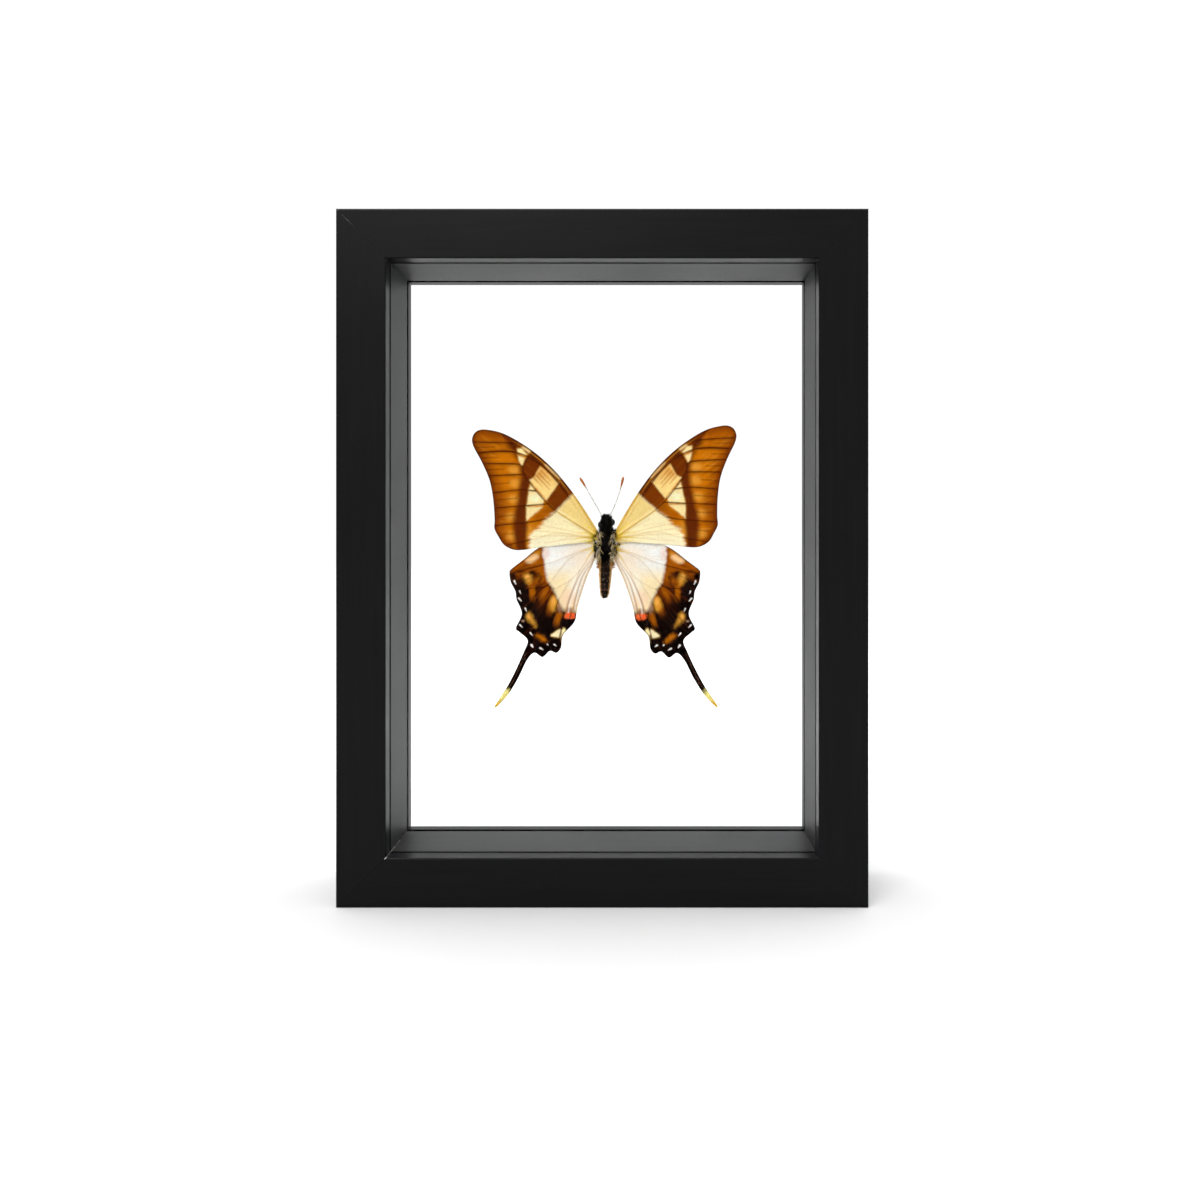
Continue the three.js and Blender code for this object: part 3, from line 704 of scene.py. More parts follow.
def paint_forewing(points, edge_depth, seed):
    """The forewing's colour: amber outside, dark bars, pale windows and a cream base."""
    x, z = points.T
    paint = Paint(points, seed, AMBER)
    streaks = radial_streaks(points, FOREWING_ROOT, seed + 5, FOREWING_STREAKS)
    beyond = side_distance(points, spline(POSTDISCAL_OUTER, 6)) + 0.3 * paint.wander
    within = side_distance(points, spline(POSTDISCAL_INNER, 6)) + 0.2 * paint.wander

    # The amber outer field, darker to the margin
    outer = ease(0.0, 2.0, beyond)
    paint.coat(DEEP_AMBER, 0.4 * ease(0.0, 0.8, streaks))
    paint.coat(DEEP_AMBER, 0.95 * outer * ease(4.6, 1.6, edge_depth))
    paint.coat(BROWN, 0.9 * outer * ease(2.2, 0.1, edge_depth))
    paint.coat(BROWN, 0.34 * outer * ease(0.2, 0.8, streaks) * ease(6.0, 2.0, edge_depth))
    paint.coat(LIGHT_AMBER, 0.3 * outer * ease(0.2, 0.8, -streaks) * ease(0.8, 2.5, edge_depth))
    paint.glows(OUTER_FIELD_GLOWS)
    for fold in mid_folds(FOREWING_BRANCHES):
        paint.coat(DARK_BROWN, 0.55 * paint.stroke(fold, width=0.34, soft=0.22, taper=1.0))
    paint.glows(INNER_FIELD_GLOWS)

    # The dark band, front edge and bars
    band = ease(1.5, -0.9, beyond) * ease(-1.1, 0.7, within)
    paint.coat(BAND_BROWN, 0.97 * band)
    paint.coat(DARK_BROWN, 0.25 * band * ease(-0.3, -1.3, beyond))
    paint.glows(BAND_TOP_GLOWS)
    costa_gap, _ = line_distance(points, spline(FOREWING_COSTA, 8))
    costal = ease(2.0, 0.8, costa_gap)
    paint.coat(BROWN, 0.9 * costal * ease(10.5, 13.5, x) * ease(33.0, 27.0, x))
    paint.patch(BROWN, CELL_END_BAR, soft=0.45, wander=0.25, rounds=0)
    paint.patch(BROWN, CELL_BAR, soft=0.4, strength=0.97, wander=0.2, rounds=0)
    bars = paint.shape(CELL_BAR, soft=0.5) + paint.shape(CELL_END_BAR, soft=0.5)
    paint.coat(DEEP_AMBER, 0.4 * bars * ease(0.0, 0.8, streaks))
    paint.glows(BAR_END_GLOWS)

    # The cream base, with a feathered edge
    feather = (0.2 + 0.6 * ease(16.0, 20.0, x)) * streaks
    base_depth = depth_inside(points, rounded(FOREWING_BASE_EDGE))
    base = ease(-0.8, 0.8, base_depth + 0.25 * paint.wander + feather)
    paint.coat(LIGHT_AMBER, 0.5 * ease(-1.6, 0.4, base_depth) * ease(17.0, 20.0, x) * (1.0 - band))
    paint.coat(CREAM, base)
    paint.coat(WARM_CREAM, 0.9 * base * ease(-1.2, 1.4, z - 0.74 * x - 0.6))
    paint.coat(LIGHT_CREAM, 0.5 * base * ease(7.0, 1.0, z) * ease(8.0, 16.0, x))
    paint.coat(GOLD, 0.26 * base * ease(0.1, 0.9, streaks))

    # The pale windows
    paint.patch(CELL_GOLD, CELL_WINDOW, soft=0.35, wander=0.15, rounds=0)
    cell = paint.shape(CELL_WINDOW, soft=0.4, wander=0.1, rounds=0)
    paint.coat(LIGHT_AMBER, 0.6 * cell * ease(20.0, 25.0, z + 0.4 * (20.0 - x)))
    for offset, length, strength in CELL_STREAKS:
        start = CELL_TOP + offset * CELL_ACROSS
        ends = [start - share * length * CELL_ALONG for share in (0.0, 0.5, 1.0)]
        paint.coat(AMBER, strength * cell * paint.stroke(ends, width=0.8, soft=0.4, taper=0.15))
    paint.patch(COSTAL_SAND, COSTAL_WINDOW, soft=0.25, strength=0.9, wander=0.05)
    for window in SMALL_WINDOWS:
        paint.patch(LIGHT_AMBER, window, soft=0.8, strength=0.8, wander=0.2, rounds=0)
        paint.patch(WINDOW, window, soft=0.35, wander=0.15, rounds=0)
    paint.glows(WINDOW_GLOWS)

    # Rays, veins and edges
    for route in FOREWING_ROOT_RAYS:
        paint.coat(ROOT_YELLOW, 0.8 * paint.stroke(route, width=0.9, soft=0.35, taper=0.15))
    for end in FOREWING_RAY_ENDS:
        across, up = middle_of(RAY_START, end)
        ray = [RAY_START, (across, up + RAY_ARCH), end]
        paint.coat(GOLD, 0.4 * base * paint.stroke(ray, width=0.3, soft=0.22, taper=0.7))
    dark_side = 1.0 - base
    for route in [FOREWING_CUBITUS, FOREWING_RADIUS] + FOREWING_BRANCHES:
        paint.coat(BROWN, 0.4 * outer * paint.stroke(route, width=1.1, soft=0.6, taper=0.9))
        line = paint.stroke(route, width=0.42, soft=0.16, taper=0.8)
        paint.coat(DARK_BROWN, 0.95 * line * dark_side)
        paint.coat(GOLD, 0.25 * line * base)
    paint.coat(GOLD, 0.9 * paint.stroke(FOREWING_CUBITUS[:2], width=0.5, soft=0.2, taper=0.9) * base)
    for depth, colour in COSTAL_LINES:
        line = np.exp(-((edge_depth - depth) / COSTAL_LINE_WIDTH) ** 2)
        paint.coat(colour, 0.5 * line * costal * ease(10.0, 14.0, x) * ease(31.0, 25.0, x))
    paint.coat(GOLD, 0.8 * paint.stroke(FOREWING_COSTA, width=0.5, soft=0.2, taper=0.8) * base)
    rim = ease(0.5, 0.12, edge_depth)
    paint.coat(DARK_BROWN, 0.85 * rim * dark_side)
    paint.coat(GOLD, 0.8 * rim * base * ease(0.0, 2.0, z - 1.3 * x))
    return paint.grained(SCALE_SPECKLE, seed)


# Hindwing markings, in the outlines' millimetres
HINDWING_ROOT = np.array((6.0, -2.0))
HINDWING_STREAKS = 34.0
PALE_EDGE = [
    (19.6, 4.0), (19.6, -1.0), (19.3, -5.2), (18.4, -10.6), (16.6, -13.8), (15.4, -16.3), (14.3, -19.0),
    (12.6, -21.6),
]
COSTAL_PEACH = [(20.7, -1.4), (22.4, -2.0), (25.4, -4.1), (24.2, -5.0), (22.2, -4.6)]
PALE_SPOTS = [
    (LIGHT_AMBER, [(26.5, -9.2), (24.1, -8.4), (23.3, -11.0), (24.4, -12.0), (25.6, -11.2)]),
    (LIGHT_AMBER, [(17.2, -15.7), (15.2, -17.6), (15.9, -20.4), (17.4, -20.8), (18.2, -18.8)]),
    (LIGHT_AMBER, [(25.9, -22.4), (24.3, -20.7), (22.2, -25.7), (23.0, -25.6)]),
    (AMBER, [(22.9, -28.5), (21.4, -28.0), (18.6, -30.4), (19.6, -30.8)]),
]
# Each smear's start, end, width and strength
SMEARS = [
    ((24.4, -11.2), (23.2, -14.4), 1.1, 0.8),
    ((23.4, -13.2), (23.3, -18.6), 1.3, 0.75),
    ((19.0, -13.4), (21.2, -18.8), 1.3, 0.6),
    ((16.8, -16.4), (18.6, -23.2), 1.4, 0.7),
    ((14.9, -22.0), (16.4, -26.6), 1.4, 0.7),
    ((18.9, -8.6), (24.6, -13.0), 1.6, 0.7),
]
CREAM_PATCHES = [
    [(18.0, -28.7), (16.0, -27.2), (14.2, -26.3), (14.7, -29.3), (15.8, -29.1)],
    [(13.9, -26.0), (12.6, -26.8), (14.0, -30.9), (14.4, -29.8)],
]
ORANGE_SPOT = [(13.3, -21.2), (9.8, -21.2), (9.8, -23.4), (13.5, -23.2)]
BLACK_BELOW_ORANGE = [(14.2, -23.0), (9.0, -23.2), (9.0, -25.0), (13.0, -27.0)]
# Each lunule's two ends and its width
LUNULES = [
    ((29.2, -10.9), (28.7, -12.0), 0.5),
    ((27.5, -14.1), (27.2, -15.0), 0.3),
    ((27.8, -16.5), (27.0, -17.4), 0.5),
    ((25.8, -19.7), (25.3, -20.7), 0.36),
    ((27.6, -25.0), (26.7, -25.9), 0.46),
    ((24.2, -27.7), (23.5, -28.5), 0.5),
    ((23.9, -31.6), (23.4, -32.3), 0.7),
    ((21.1, -32.6), (20.2, -33.1), 0.55),
    ((18.8, -31.4), (18.5, -31.7), 0.4),
    ((16.6, -31.5), (15.9, -32.0), 0.5),
]
HINDWING_ROOT_RAYS = [
    [(2.9, 0.4), (5.0, 1.0), (7.2, 1.4)],
    [(2.9, 0.0), (5.0, -0.9), (8.0, -1.6)],
    [(2.9, -0.6), (4.6, -2.4), (6.2, -4.2)],
]
GREY_STREAK = [(15.3, -17.0), (14.6, -20.0), (14.6, -22.4)]
FOLD_HIGHLIGHT_SHIFT = 0.55
TAIL_ROUTE = [(25.2, -33.0), (28.2, -39.6), (31.3, -45.6), (35.5, -51.2)]
# Glows: colour, strength, centre and reach
MARGIN_GLOWS = [
    (BLACK_BROWN, 1.0, (29.7, -9.4), (2.0, 2.0)),
    (BLACK_BROWN, 0.9, (23.4, -8.4), (1.9, 1.3)),
]
PEACH_GLOWS = [(PEACH, 0.75, centre, (1.9, 1.3)) for centre in ((22.5, -3.2), (23.5, -3.9), (24.4, -4.5))]
SPOT_GLOWS = [
    (SPOT_GOLD, 0.65, (25.0, -9.6), (1.2, 1.4)),
    (SPOT_GOLD, 0.65, (16.6, -17.4), (1.2, 2.0)),
    (SPOT_GOLD, 0.65, (24.8, -22.3), (0.9, 1.6)),
]
PALE_GLOWS_UNDER_STREAKS = [
    (ROSE_GREY, 0.7, (19.2, -2.2), (2.2, 3.4)),
    (IVORY, 0.9, (8.6, -13.0), (5.2, 9.0)),
]
PALE_GLOWS_OVER_STREAKS = [
    (WARM_IVORY, 0.8, (6.6, -9.0), (4.0, 8.0)),
    (BUFF, 0.7, (6.5, -3.0), (10.0, 7.0)),
    (PALE_PEACH, 0.75, (11.6, -16.6), (4.0, 4.6)),
]


def paint_hindwing(points, edge_depth, seed):
    """The hindwing's colour: a pale inner half, amber turning black outside, white lunules and a tail."""
    x, z = points.T
    paint = Paint(points, seed, BLACK_BROWN)
    streaks = radial_streaks(points, HINDWING_ROOT, seed + 5, HINDWING_STREAKS)
    beyond = side_distance(points, spline(PALE_EDGE, 6)) + 0.35 * paint.wander
    reach = beyond + 1.3 * streaks

    # The outer half: amber near the front edge and the pale half, black to the margin
    paint.coat(DARK_BROWN, 0.45 * ease(0.05, 0.7, streaks) * ease(-38.0, -32.0, z))
    warm = ease(8.0, 1.0, reach) * ease(-25.0, -13.0, z + 0.35 * (x - 18.0))
    costal = ease(-10.5, -6.0, z + 0.25 * (x - 24.0)) * ease(32.5, 28.5, x)
    paint.coat(BROWN, np.maximum(warm, costal))
    paint.coat(DEEP_AMBER, 0.9 * np.maximum(costal, ease(6.0, 2.0, reach) * ease(-14.0, -8.0, z)))
    paint.coat(DEEP_AMBER, 0.75 * warm * ease(0.0, 0.7, -streaks))
    for start, end, width, strength in SMEARS:
        mask = strength * paint.trail(start, end, width)
        paint.coat(BROWN, 1.3 * mask)
        paint.coat(AMBER, mask * (0.75 + 0.6 * streaks))
    paint.coat(BROWN, 0.25 * ease(1.5, 0.7, beyond) * ease(-13.0, -9.0, z))
    paint.coat(BLACK_BROWN, 0.6 * paint.glow((22.3, -9.0), (2.6, 1.6)))
    paint.coat(DARK_BROWN, 0.7 * paint.trail((20.6, -9.8), (22.0, -13.6), width=0.9))
    paint.coat(DARK_BROWN, 0.75 * paint.glow((27.6, -7.8), (2.8, 1.0)))
    paint.coat(DARK_BROWN, 0.5 * paint.trail((24.5, -5.6), (28.8, -7.2), width=0.6))
    paint.glows(MARGIN_GLOWS)
    paint.patch(LIGHT_AMBER, COSTAL_PEACH, soft=1.1, strength=0.9)
    paint.glows(PEACH_GLOWS)
    for colour, corners in PALE_SPOTS:
        paint.patch(colour, corners, soft=1.0, strength=0.85, wander=0.5, rounds=1)
    paint.glows(SPOT_GLOWS)
    dark_streaks = ease(0.1, 0.75, streaks) * ease(0.2, 2.4, beyond) * ease(-30.0, -20.0, z)
    paint.coat(DARK_BROWN, 0.55 * dark_streaks)

    # The pale inner half, with its grey and orange end
    pale = ease(0.8, -0.7, beyond) * ease(-21.8, -20.2, z + 0.5 * paint.wander)
    paint.coat(HIND_CREAM, pale)
    paint.coat(PEARL, 0.95 * pale * ease(-10.0, -3.0, z + 0.1 * x))
    paint.glows(PALE_GLOWS_UNDER_STREAKS, pale)
    paint.coat(SAND, 0.4 * pale * ease(0.1, 0.9, streaks))
    paint.glows(PALE_GLOWS_OVER_STREAKS, pale)
    paint.coat(GREY_MAUVE, 0.5 * paint.glow((14.6, -19.6), (1.2, 2.4)))
    paint.coat(BROWN, 0.35 * paint.stroke(GREY_STREAK, width=0.4, soft=0.3, taper=1.0))
    paint.coat(MUD, 0.85 * paint.glow((11.6, -20.5), (2.6, 1.5)))
    paint.patch(BLACK_BROWN, BLACK_BELOW_ORANGE, soft=0.35)
    paint.patch(ORANGE_RED, ORANGE_SPOT, soft=0.2, wander=0.35, rounds=1)
    orange = paint.shape(ORANGE_SPOT, soft=0.3)
    paint.coat(LIGHT_ORANGE, 0.6 * orange * ease(0.1, 0.5, -paint.wander))
    paint.coat(DEEP_ORANGE, 0.7 * orange * ease(0.1, 0.6, paint.wander))
    for corners in CREAM_PATCHES:
        paint.patch(LIGHT_AMBER, corners, soft=0.7, strength=0.7, wander=0.3, rounds=1)
        paint.patch(CREAM, corners, soft=0.25, wander=0.2, rounds=1)
    paint.coat(TIP_YELLOW, 0.6 * paint.glow((13.3, -27.6), (0.8, 2.0)))

    # Veins, folds with painted shade and highlight, and lunules
    for route in [HINDWING_CELL] + HINDWING_VEINS:
        line = paint.stroke(route, width=0.34, soft=0.16, taper=0.8)
        paint.coat(VEIN_TAN, 0.45 * line * pale)
        paint.coat(BLACK_BROWN, 0.9 * line * (1.0 - pale) * ease(-45.0, -40.0, z))
    # Along each fold: a brown line of painted shade in the crease, and beside it a white line of painted
    # highlight on the fold's lit side
    for route in HINDWING_FOLDS:
        paint.coat(FOLD_CREASE_SHADE, 0.65 * paint.stroke(route[::-1], width=0.65, soft=0.3, taper=0.25))
        shifted = [(a - FOLD_HIGHLIGHT_SHIFT, b) for a, b in route]
        paint.coat(FOLD_HIGHLIGHT, 0.7 * paint.stroke(shifted, width=0.45, soft=0.3, taper=0.8))
    for start, end, width in LUNULES:
        route = [start, middle_of(start, end), end]
        paint.coat(WHITE_SPOT, paint.stroke(route, width, soft=0.1, taper=0.35))
    paint.coat(GREY_MAUVE, 0.5 * paint.glow((26.5, -23.8), (0.8, 0.6)))

    # The tail, the root and the edges
    tail_gap, tail_place = line_distance(points, spline(TAIL_ROUTE, 8))
    in_tail = ease(2.4, 1.6, tail_gap) * ease(0.02, 0.08, tail_place)
    paint.coat(TAIL_RIDGE, 0.6 * in_tail * ease(0.36, 0.06, tail_gap) * ease(0.72, 0.6, tail_place))
    tip = in_tail * ease(0.66, 0.76, tail_place + 0.05 * paint.wander)
    paint.coat(TIP_YELLOW, tip)
    paint.coat(TIP_ORANGE, tip * ease(0.84, 0.98, tail_place))
    for route in HINDWING_ROOT_RAYS:
        paint.coat(ROOT_YELLOW, 0.8 * paint.stroke(route, width=0.9, soft=0.35, taper=0.1))
    rim = ease(0.45, 0.1, edge_depth)
    paint.coat(BLACK_BROWN, 0.9 * rim * (1.0 - pale) * (1.0 - tip))
    paint.coat(RIM_TAN, 0.6 * ease(1.0, 0.2, edge_depth) * pale * ease(-2.0, -5.0, z))
    return paint.grained(SCALE_SPECKLE, seed)


def underside(rgb):
    """The wing's other face has the same pattern, duller, and a little paler where it is pale already."""
    share = 0.02 + 0.25 * rgb.mean(1, keepdims=True)
    return 0.8 * (rgb + (UNDERSIDE_PALE - rgb) * share)


def wing_net(outline):
    """A fine flat net over a wing: its points and its triangles."""
    rim = even_steps(spline(outline, 12), WING_SPACING)
    base = even_steps(np.array([outline[-1], outline[0]], float), WING_SPACING)[1:-1]
    rim = np.vstack([rim, base])
    low, high = rim.min(0), rim.max(0)
    row = WING_SPACING * math.sqrt(3) / 2
    grid = []
    for k, z in enumerate(np.arange(low[1], high[1], row)):
        xs = np.arange(low[0] + (k % 2) * WING_SPACING / 2, high[0], WING_SPACING)
        grid.append(np.column_stack([xs, np.full(len(xs), z)]))
    grid = np.vstack(grid)
    grid = grid[inside(grid, rim)]
    clear, _ = line_distance(grid, np.vstack([rim, rim[:1]]))
    grid = grid[clear > 0.55 * WING_SPACING]
    flat = np.vstack([rim, grid])
    corners = [Vector(p) for p in flat.tolist()]
    made = delaunay_2d_cdt(corners, [], [list(range(len(rim)))], 1, 1e-5)
    points = np.array([tuple(v) for v in made[0]])
    triangles = np.array(made[2])
    a, b, c = (points[triangles[:, k]] for k in range(3))
    turn = (b[:, 0] - a[:, 0]) * (c[:, 1] - a[:, 1]) - (b[:, 1] - a[:, 1]) * (c[:, 0] - a[:, 0])
    triangles[turn < 0] = triangles[turn < 0][:, ::-1]
    return points, triangles


MAIN_VEIN_HEIGHT = 0.16
VEIN_HEIGHT = 0.1
VEIN_WIDTH = 0.26
SLACK_DEPTH = 0.12
SLACK_REACH = 1.3
UNEVEN_HEIGHT = 0.04
UNEVEN_LENGTH = 1.6
RIM_SHARE = 0.35
BOW_START = 14.0
BOW_SPAN = 900.0
WAVE_HEIGHT = 0.16
WAVE_LENGTH = 7.0
BACK_RELIEF = 0.6


class Drawing(NamedTuple):
    """What one kind of wing is made from."""
    outline: list
    main_veins: list
    veins: list
    painter: object
    depth: float
    turn: float
    shift: tuple
    curl: float


def wing_relief(points, main_veins, veins, seed):
    """How far the face stands proud: veins raised, the membrane between them slack and a little uneven."""
    ridge = np.zeros(len(points))
    nearest = np.full(len(points), 1e9)
    heights = [MAIN_VEIN_HEIGHT] * len(main_veins) + [VEIN_HEIGHT] * len(veins)
    for route, height in zip(main_veins + veins, heights):
        distance, place = line_distance(points, spline(route, 8))
        ridge = np.maximum(ridge, height * (1.0 - 0.5 * place) * np.exp(-(distance / VEIN_WIDTH) ** 2))
        nearest = np.minimum(nearest, distance)
    slack = SLACK_DEPTH * (1.0 - np.exp(-(nearest / SLACK_REACH) ** 2))
    x, z = points.T
    return ridge - slack + UNEVEN_HEIGHT * value_noise(x / UNEVEN_LENGTH, z / UNEVEN_LENGTH, seed)


def wing_piece(name, node, side, net, drawing, material, seed):
    """A wing set in place: both faces and the rim between them."""
    points, triangles = net
    edge_depth, _ = line_distance(points, even_steps(spline(drawing.outline, 12), WING_SPACING))
    rgb = drawing.painter(points, edge_depth, seed)
    relief = wing_relief(points, drawing.main_veins, drawing.veins, seed + 9)
    half = 0.5 * WING_THICKNESS * (RIM_SHARE + (1.0 - RIM_SHARE) * ease(0.0, 0.6, edge_depth))
    out, up = points.T
    reach = np.hypot(out, up)
    bow = drawing.curl * np.maximum(reach - BOW_START, 0.0) ** 2 / BOW_SPAN
    wave = WAVE_HEIGHT * value_noise(out / WAVE_LENGTH, up / WAVE_LENGTH, seed + 11) * ease(8.0, 20.0, reach)
    middle = bow + wave
    depths = (middle - half - relief, middle + half - BACK_RELIEF * relief)
    local = np.vstack([np.column_stack([side * out, depth, up]) for depth in depths])
    t = math.radians(drawing.turn)
    r = math.radians(-side * WING_RISE)
    x = local[:, 0] * math.cos(t) - local[:, 2] * math.sin(t)
    z = local[:, 0] * math.sin(t) + local[:, 2] * math.cos(t)
    placed = np.column_stack([
        x * math.cos(r) - local[:, 1] * math.sin(r) + BODY_X + drawing.shift[0],
        x * math.sin(r) + local[:, 1] * math.cos(r) + drawing.depth,
        z + BODY_Z - side * drawing.shift[1],
    ])
    count = len(points)
    front_faces = triangles if side > 0 else triangles[:, ::-1]
    back_faces = front_faces[:, ::-1] + count
    edges = {}
    for a, b, c in front_faces:
        for u, v in ((a, b), (b, c), (c, a)):
            edges[(u, v)] = True
    walls = [(v, u, u + count, v + count) for u, v in edges if (v, u) not in edges]
    faces = front_faces.tolist() + back_faces.tolist() + walls
    make_piece(name, placed, faces, material, (node,), np.vstack([rgb, underside(rgb)]))


def make_wings():
    scales = pigment_material("wing_scales", rough=0.85, grain_scale=3800.0, grain_depth=0.08, specular=0.03)
    fore = Drawing(FOREWING_OUTLINE, [FOREWING_COSTA, FOREWING_CUBITUS, FOREWING_RADIUS], FOREWING_BRANCHES,
                   paint_forewing, FOREWING_Y, FOREWING_TURN, FOREWING_SHIFT, FOREWING_CURL)
    hind = Drawing(HINDWING_OUTLINE, [HINDWING_CELL], HINDWING_VEINS + HINDWING_FOLDS,
                   paint_hindwing, HINDWING_Y, HINDWING_TURN, HINDWING_SHIFT, HINDWING_CURL)
    for kind, drawing, seed in (("forewing", fore, 11), ("hindwing", hind, 47)):
        net = wing_net(drawing.outline)
        for side_name, side in (("left", -1), ("right", 1)):
            node = f"{side_name}_{kind}"
            wing_piece(f"{node}_scales", node, side, net, drawing, scales, seed + side)


# Body

INK = srgb(15, 11, 9)
SOOT = srgb(34, 24, 18)
UMBER = srgb(26, 12, 6)
STRAW = srgb(238, 212, 156)
ASH = srgb(196, 184, 170)
OCHRE = srgb(240, 196, 70)
LEMON = srgb(248, 212, 40)
RUST = srgb(208, 130, 36)
HORN = srgb(222, 216, 210)
CLUB = srgb(192, 98, 8)
FLANK = srgb(232, 172, 96)
FLANK_HAIR = srgb(240, 196, 124)
CREASE_PINK = srgb(150, 100, 84)
TONGUE = srgb(70, 44, 26)
EYE = srgb(20, 14, 12)
BODY_FULLNESS = 2.6
THORAX_CENTRE = np.array((0.3, 8.0, 1.2))
THORAX_RADII = np.array((2.4, 2.8, 4.45))
HEAD_CENTRE = np.array((0.6, 7.2, 7.9))
HEAD_RADII = np.array((1.9, 1.85, 2.05))
EYE_PLACES = [(-1.25, 7.1, 7.2), (2.35, 7.1, 8.0)]
EYE_RADII = (1.0, 1.1, 1.15)
PALP_PLACES = [(-0.1, 7.8, 9.7), (0.95, 7.8, 9.5)]
PALP_RADII = (0.55, 0.55, 1.15)
TONGUE_TURNS = 2.6
TONGUE_STEPS = 90
ABDOMEN_RADIUS = 2.3
ABDOMEN_TAPER = 0.42
ABDOMEN_TAPER_POWER = 1.3
ABDOMEN_BLUNTNESS = 6.0
ABDOMEN_LEAN = 1.7
ABDOMEN_RINGS = 7
LEG_ROUTES = [
    [(0.8, 10.2, 3.4), (2.7, 9.9, 4.4), (2.2, 10.8, 2.2), (3.9, 10.8, 0.6)],
    [(0.9, 10.4, 2.0), (4.0, 9.9, 2.6), (3.2, 10.8, -0.6), (4.4, 10.8, -3.2)],
    [(0.8, 10.4, 0.2), (2.6, 10.2, -2.0), (2.0, 10.9, -5.0), (1.6, 10.9, -8.0)],
]
ANTENNA_ROUTES = {
    "left": [(-1.0, 6.2, 10.3), (-3.4, 5.4, 14.6), (-6.0, 5.0, 19.2), (-7.9, 4.8, 22.3)],
    "right": [(1.7, 6.2, 10.1), (3.6, 5.4, 14.2), (5.2, 5.0, 19.0), (6.1, 4.8, 22.6)],
}
ANTENNA_SIDES = 12
DOWN = np.array((0.0, 0.0, -1.0))
FINE_HAIR = 0.05
BODY_HAIR = 0.055
LOCK_HAIR = 0.06
THORAX_HAIRS = 2400
# Locks on the thorax: their place out from the middle, colour, number, length and hairs to a lock
THORAX_LOCKS = (
    (1.7, STRAW, 4, 2.2, 5), (2.1, STRAW, 6, 2.4, 5), (2.3, ASH, 4, 2.0, 5), (2.6, STRAW, 6, 2.2, 5),
    (2.9, OCHRE, 3, 1.8, 5), (2.4, INK, 9, 1.8, 9), (3.1, INK, 8, 1.5, 12), (3.6, INK, 8, 1.2, 12),
)
ABDOMEN_HAIRS = 1100
WAIST_HAIRS = 420
RUST_TUFT_HAIRS = 110
ASH_FLECKS = 16
HEAD_HAIRS = 1100
COLLAR_HAIRS = 500
# Tufts at the wing roots: place, way out and up, number, colour, length, scatter and hairs to a lock
ROOT_TUFTS = [
    ((3.4, 5.7, 3.4), (1.0, 0.5), 3, LEMON, 3.0, 0.2, 3),
    ((3.4, 5.7, 2.9), (1.0, 0.15), 4, LEMON, 4.0, 0.2, 3),
    ((3.4, 5.7, 2.1), (1.0, -0.1), 3, OCHRE, 3.6, 0.16, 3),
    ((3.3, 6.2, -0.6), (0.8, 0.6), 3, LEMON, 2.6, 0.25, 3),
    ((3.3, 6.2, -1.0), (1.0, -0.3), 3, LEMON, 2.6, 0.25, 3),
    ((2.8, 6.2, -2.0), (0.5, -1.0), 6, STRAW, 3.4, 0.15, 4),
    ((2.2, 5.9, -2.8), (0.3, -1.0), 6, STRAW, 3.0, 0.2, 4),
    ((2.3, 6.0, -3.4), (0.35, -1.0), 3, SOOT, 2.6, 0.15, 5),
    ((2.5, 5.6, 4.6), (0.75, 0.9), 5, INK, 1.5, 0.25, 7),
]
ROOT_TUFT_X = 0.4


def squared(way):
    """Where each way out meets a ball of unit size with squared shoulders."""
    return way / (np.abs(way) ** BODY_FULLNESS).sum(1)[:, None] ** (1.0 / BODY_FULLNESS)


def full_body(centre, radii, around, down, roughness, seed):
    """An ellipsoid with squared shoulders, its points pushed in and out by a smooth random amount."""
    points, faces = ellipsoid((0.0, 0.0, 0.0), (1.0, 1.0, 1.0), around, down)
    points = squared(points) * radii + centre
    away = points - centre
    way = away / np.linalg.norm(away, axis=1)[:, None]
    push = value_noise(points[:, 0] * 2.3 + 9.0, points[:, 2] * 2.3 + 3.0 * points[:, 1], seed)
    return points + way * (roughness * push)[:, None], faces


def scattered(rng, count, centre, radii):
    """Random places on a squared ellipsoid, with the way out at each."""
    way = rng.normal(size=(count, 3))
    way /= np.linalg.norm(way, axis=1)[:, None]
    return centre + squared(way) * radii, way


def shades(rng, colour, count):
    """The colour again and again, each a little lighter or darker."""
    return np.tile(colour, (count, 1)) * rng.uniform(0.72, 1.12, (count, 1))


def two_shades(rng, chosen, colour, other):
    """Shades of one colour where chosen, and of the other elsewhere."""
    return np.where(chosen[:, None], shades(rng, colour, len(chosen)), shades(rng, other, len(chosen)))


def coat_hairs(build, rng, roots, ways, reach, width, colour):
    """Hairs of random lengths within a reach, in shades of one colour."""
    lengths = rng.uniform(*reach, len(roots))
    hairs(build, rng, roots, ways, lengths, width, shades(rng, colour, len(roots)))


def clumps(build, rng, roots, ways, length, colour, number):
    """Hairs in tight locks: one lock of so many hairs from each root."""
    for root, way in zip(roots, ways):
        starts = root + rng.normal(scale=(0.16, 0.08, 0.22), size=(number, 3))
        spread = way + rng.normal(scale=0.14, size=(number, 3))
        lengths = length * rng.uniform(0.6, 1.1) * rng.uniform(0.7, 1.1, number)
        hairs(build, rng, starts, spread, lengths, LOCK_HAIR, shades(rng, colour, number))


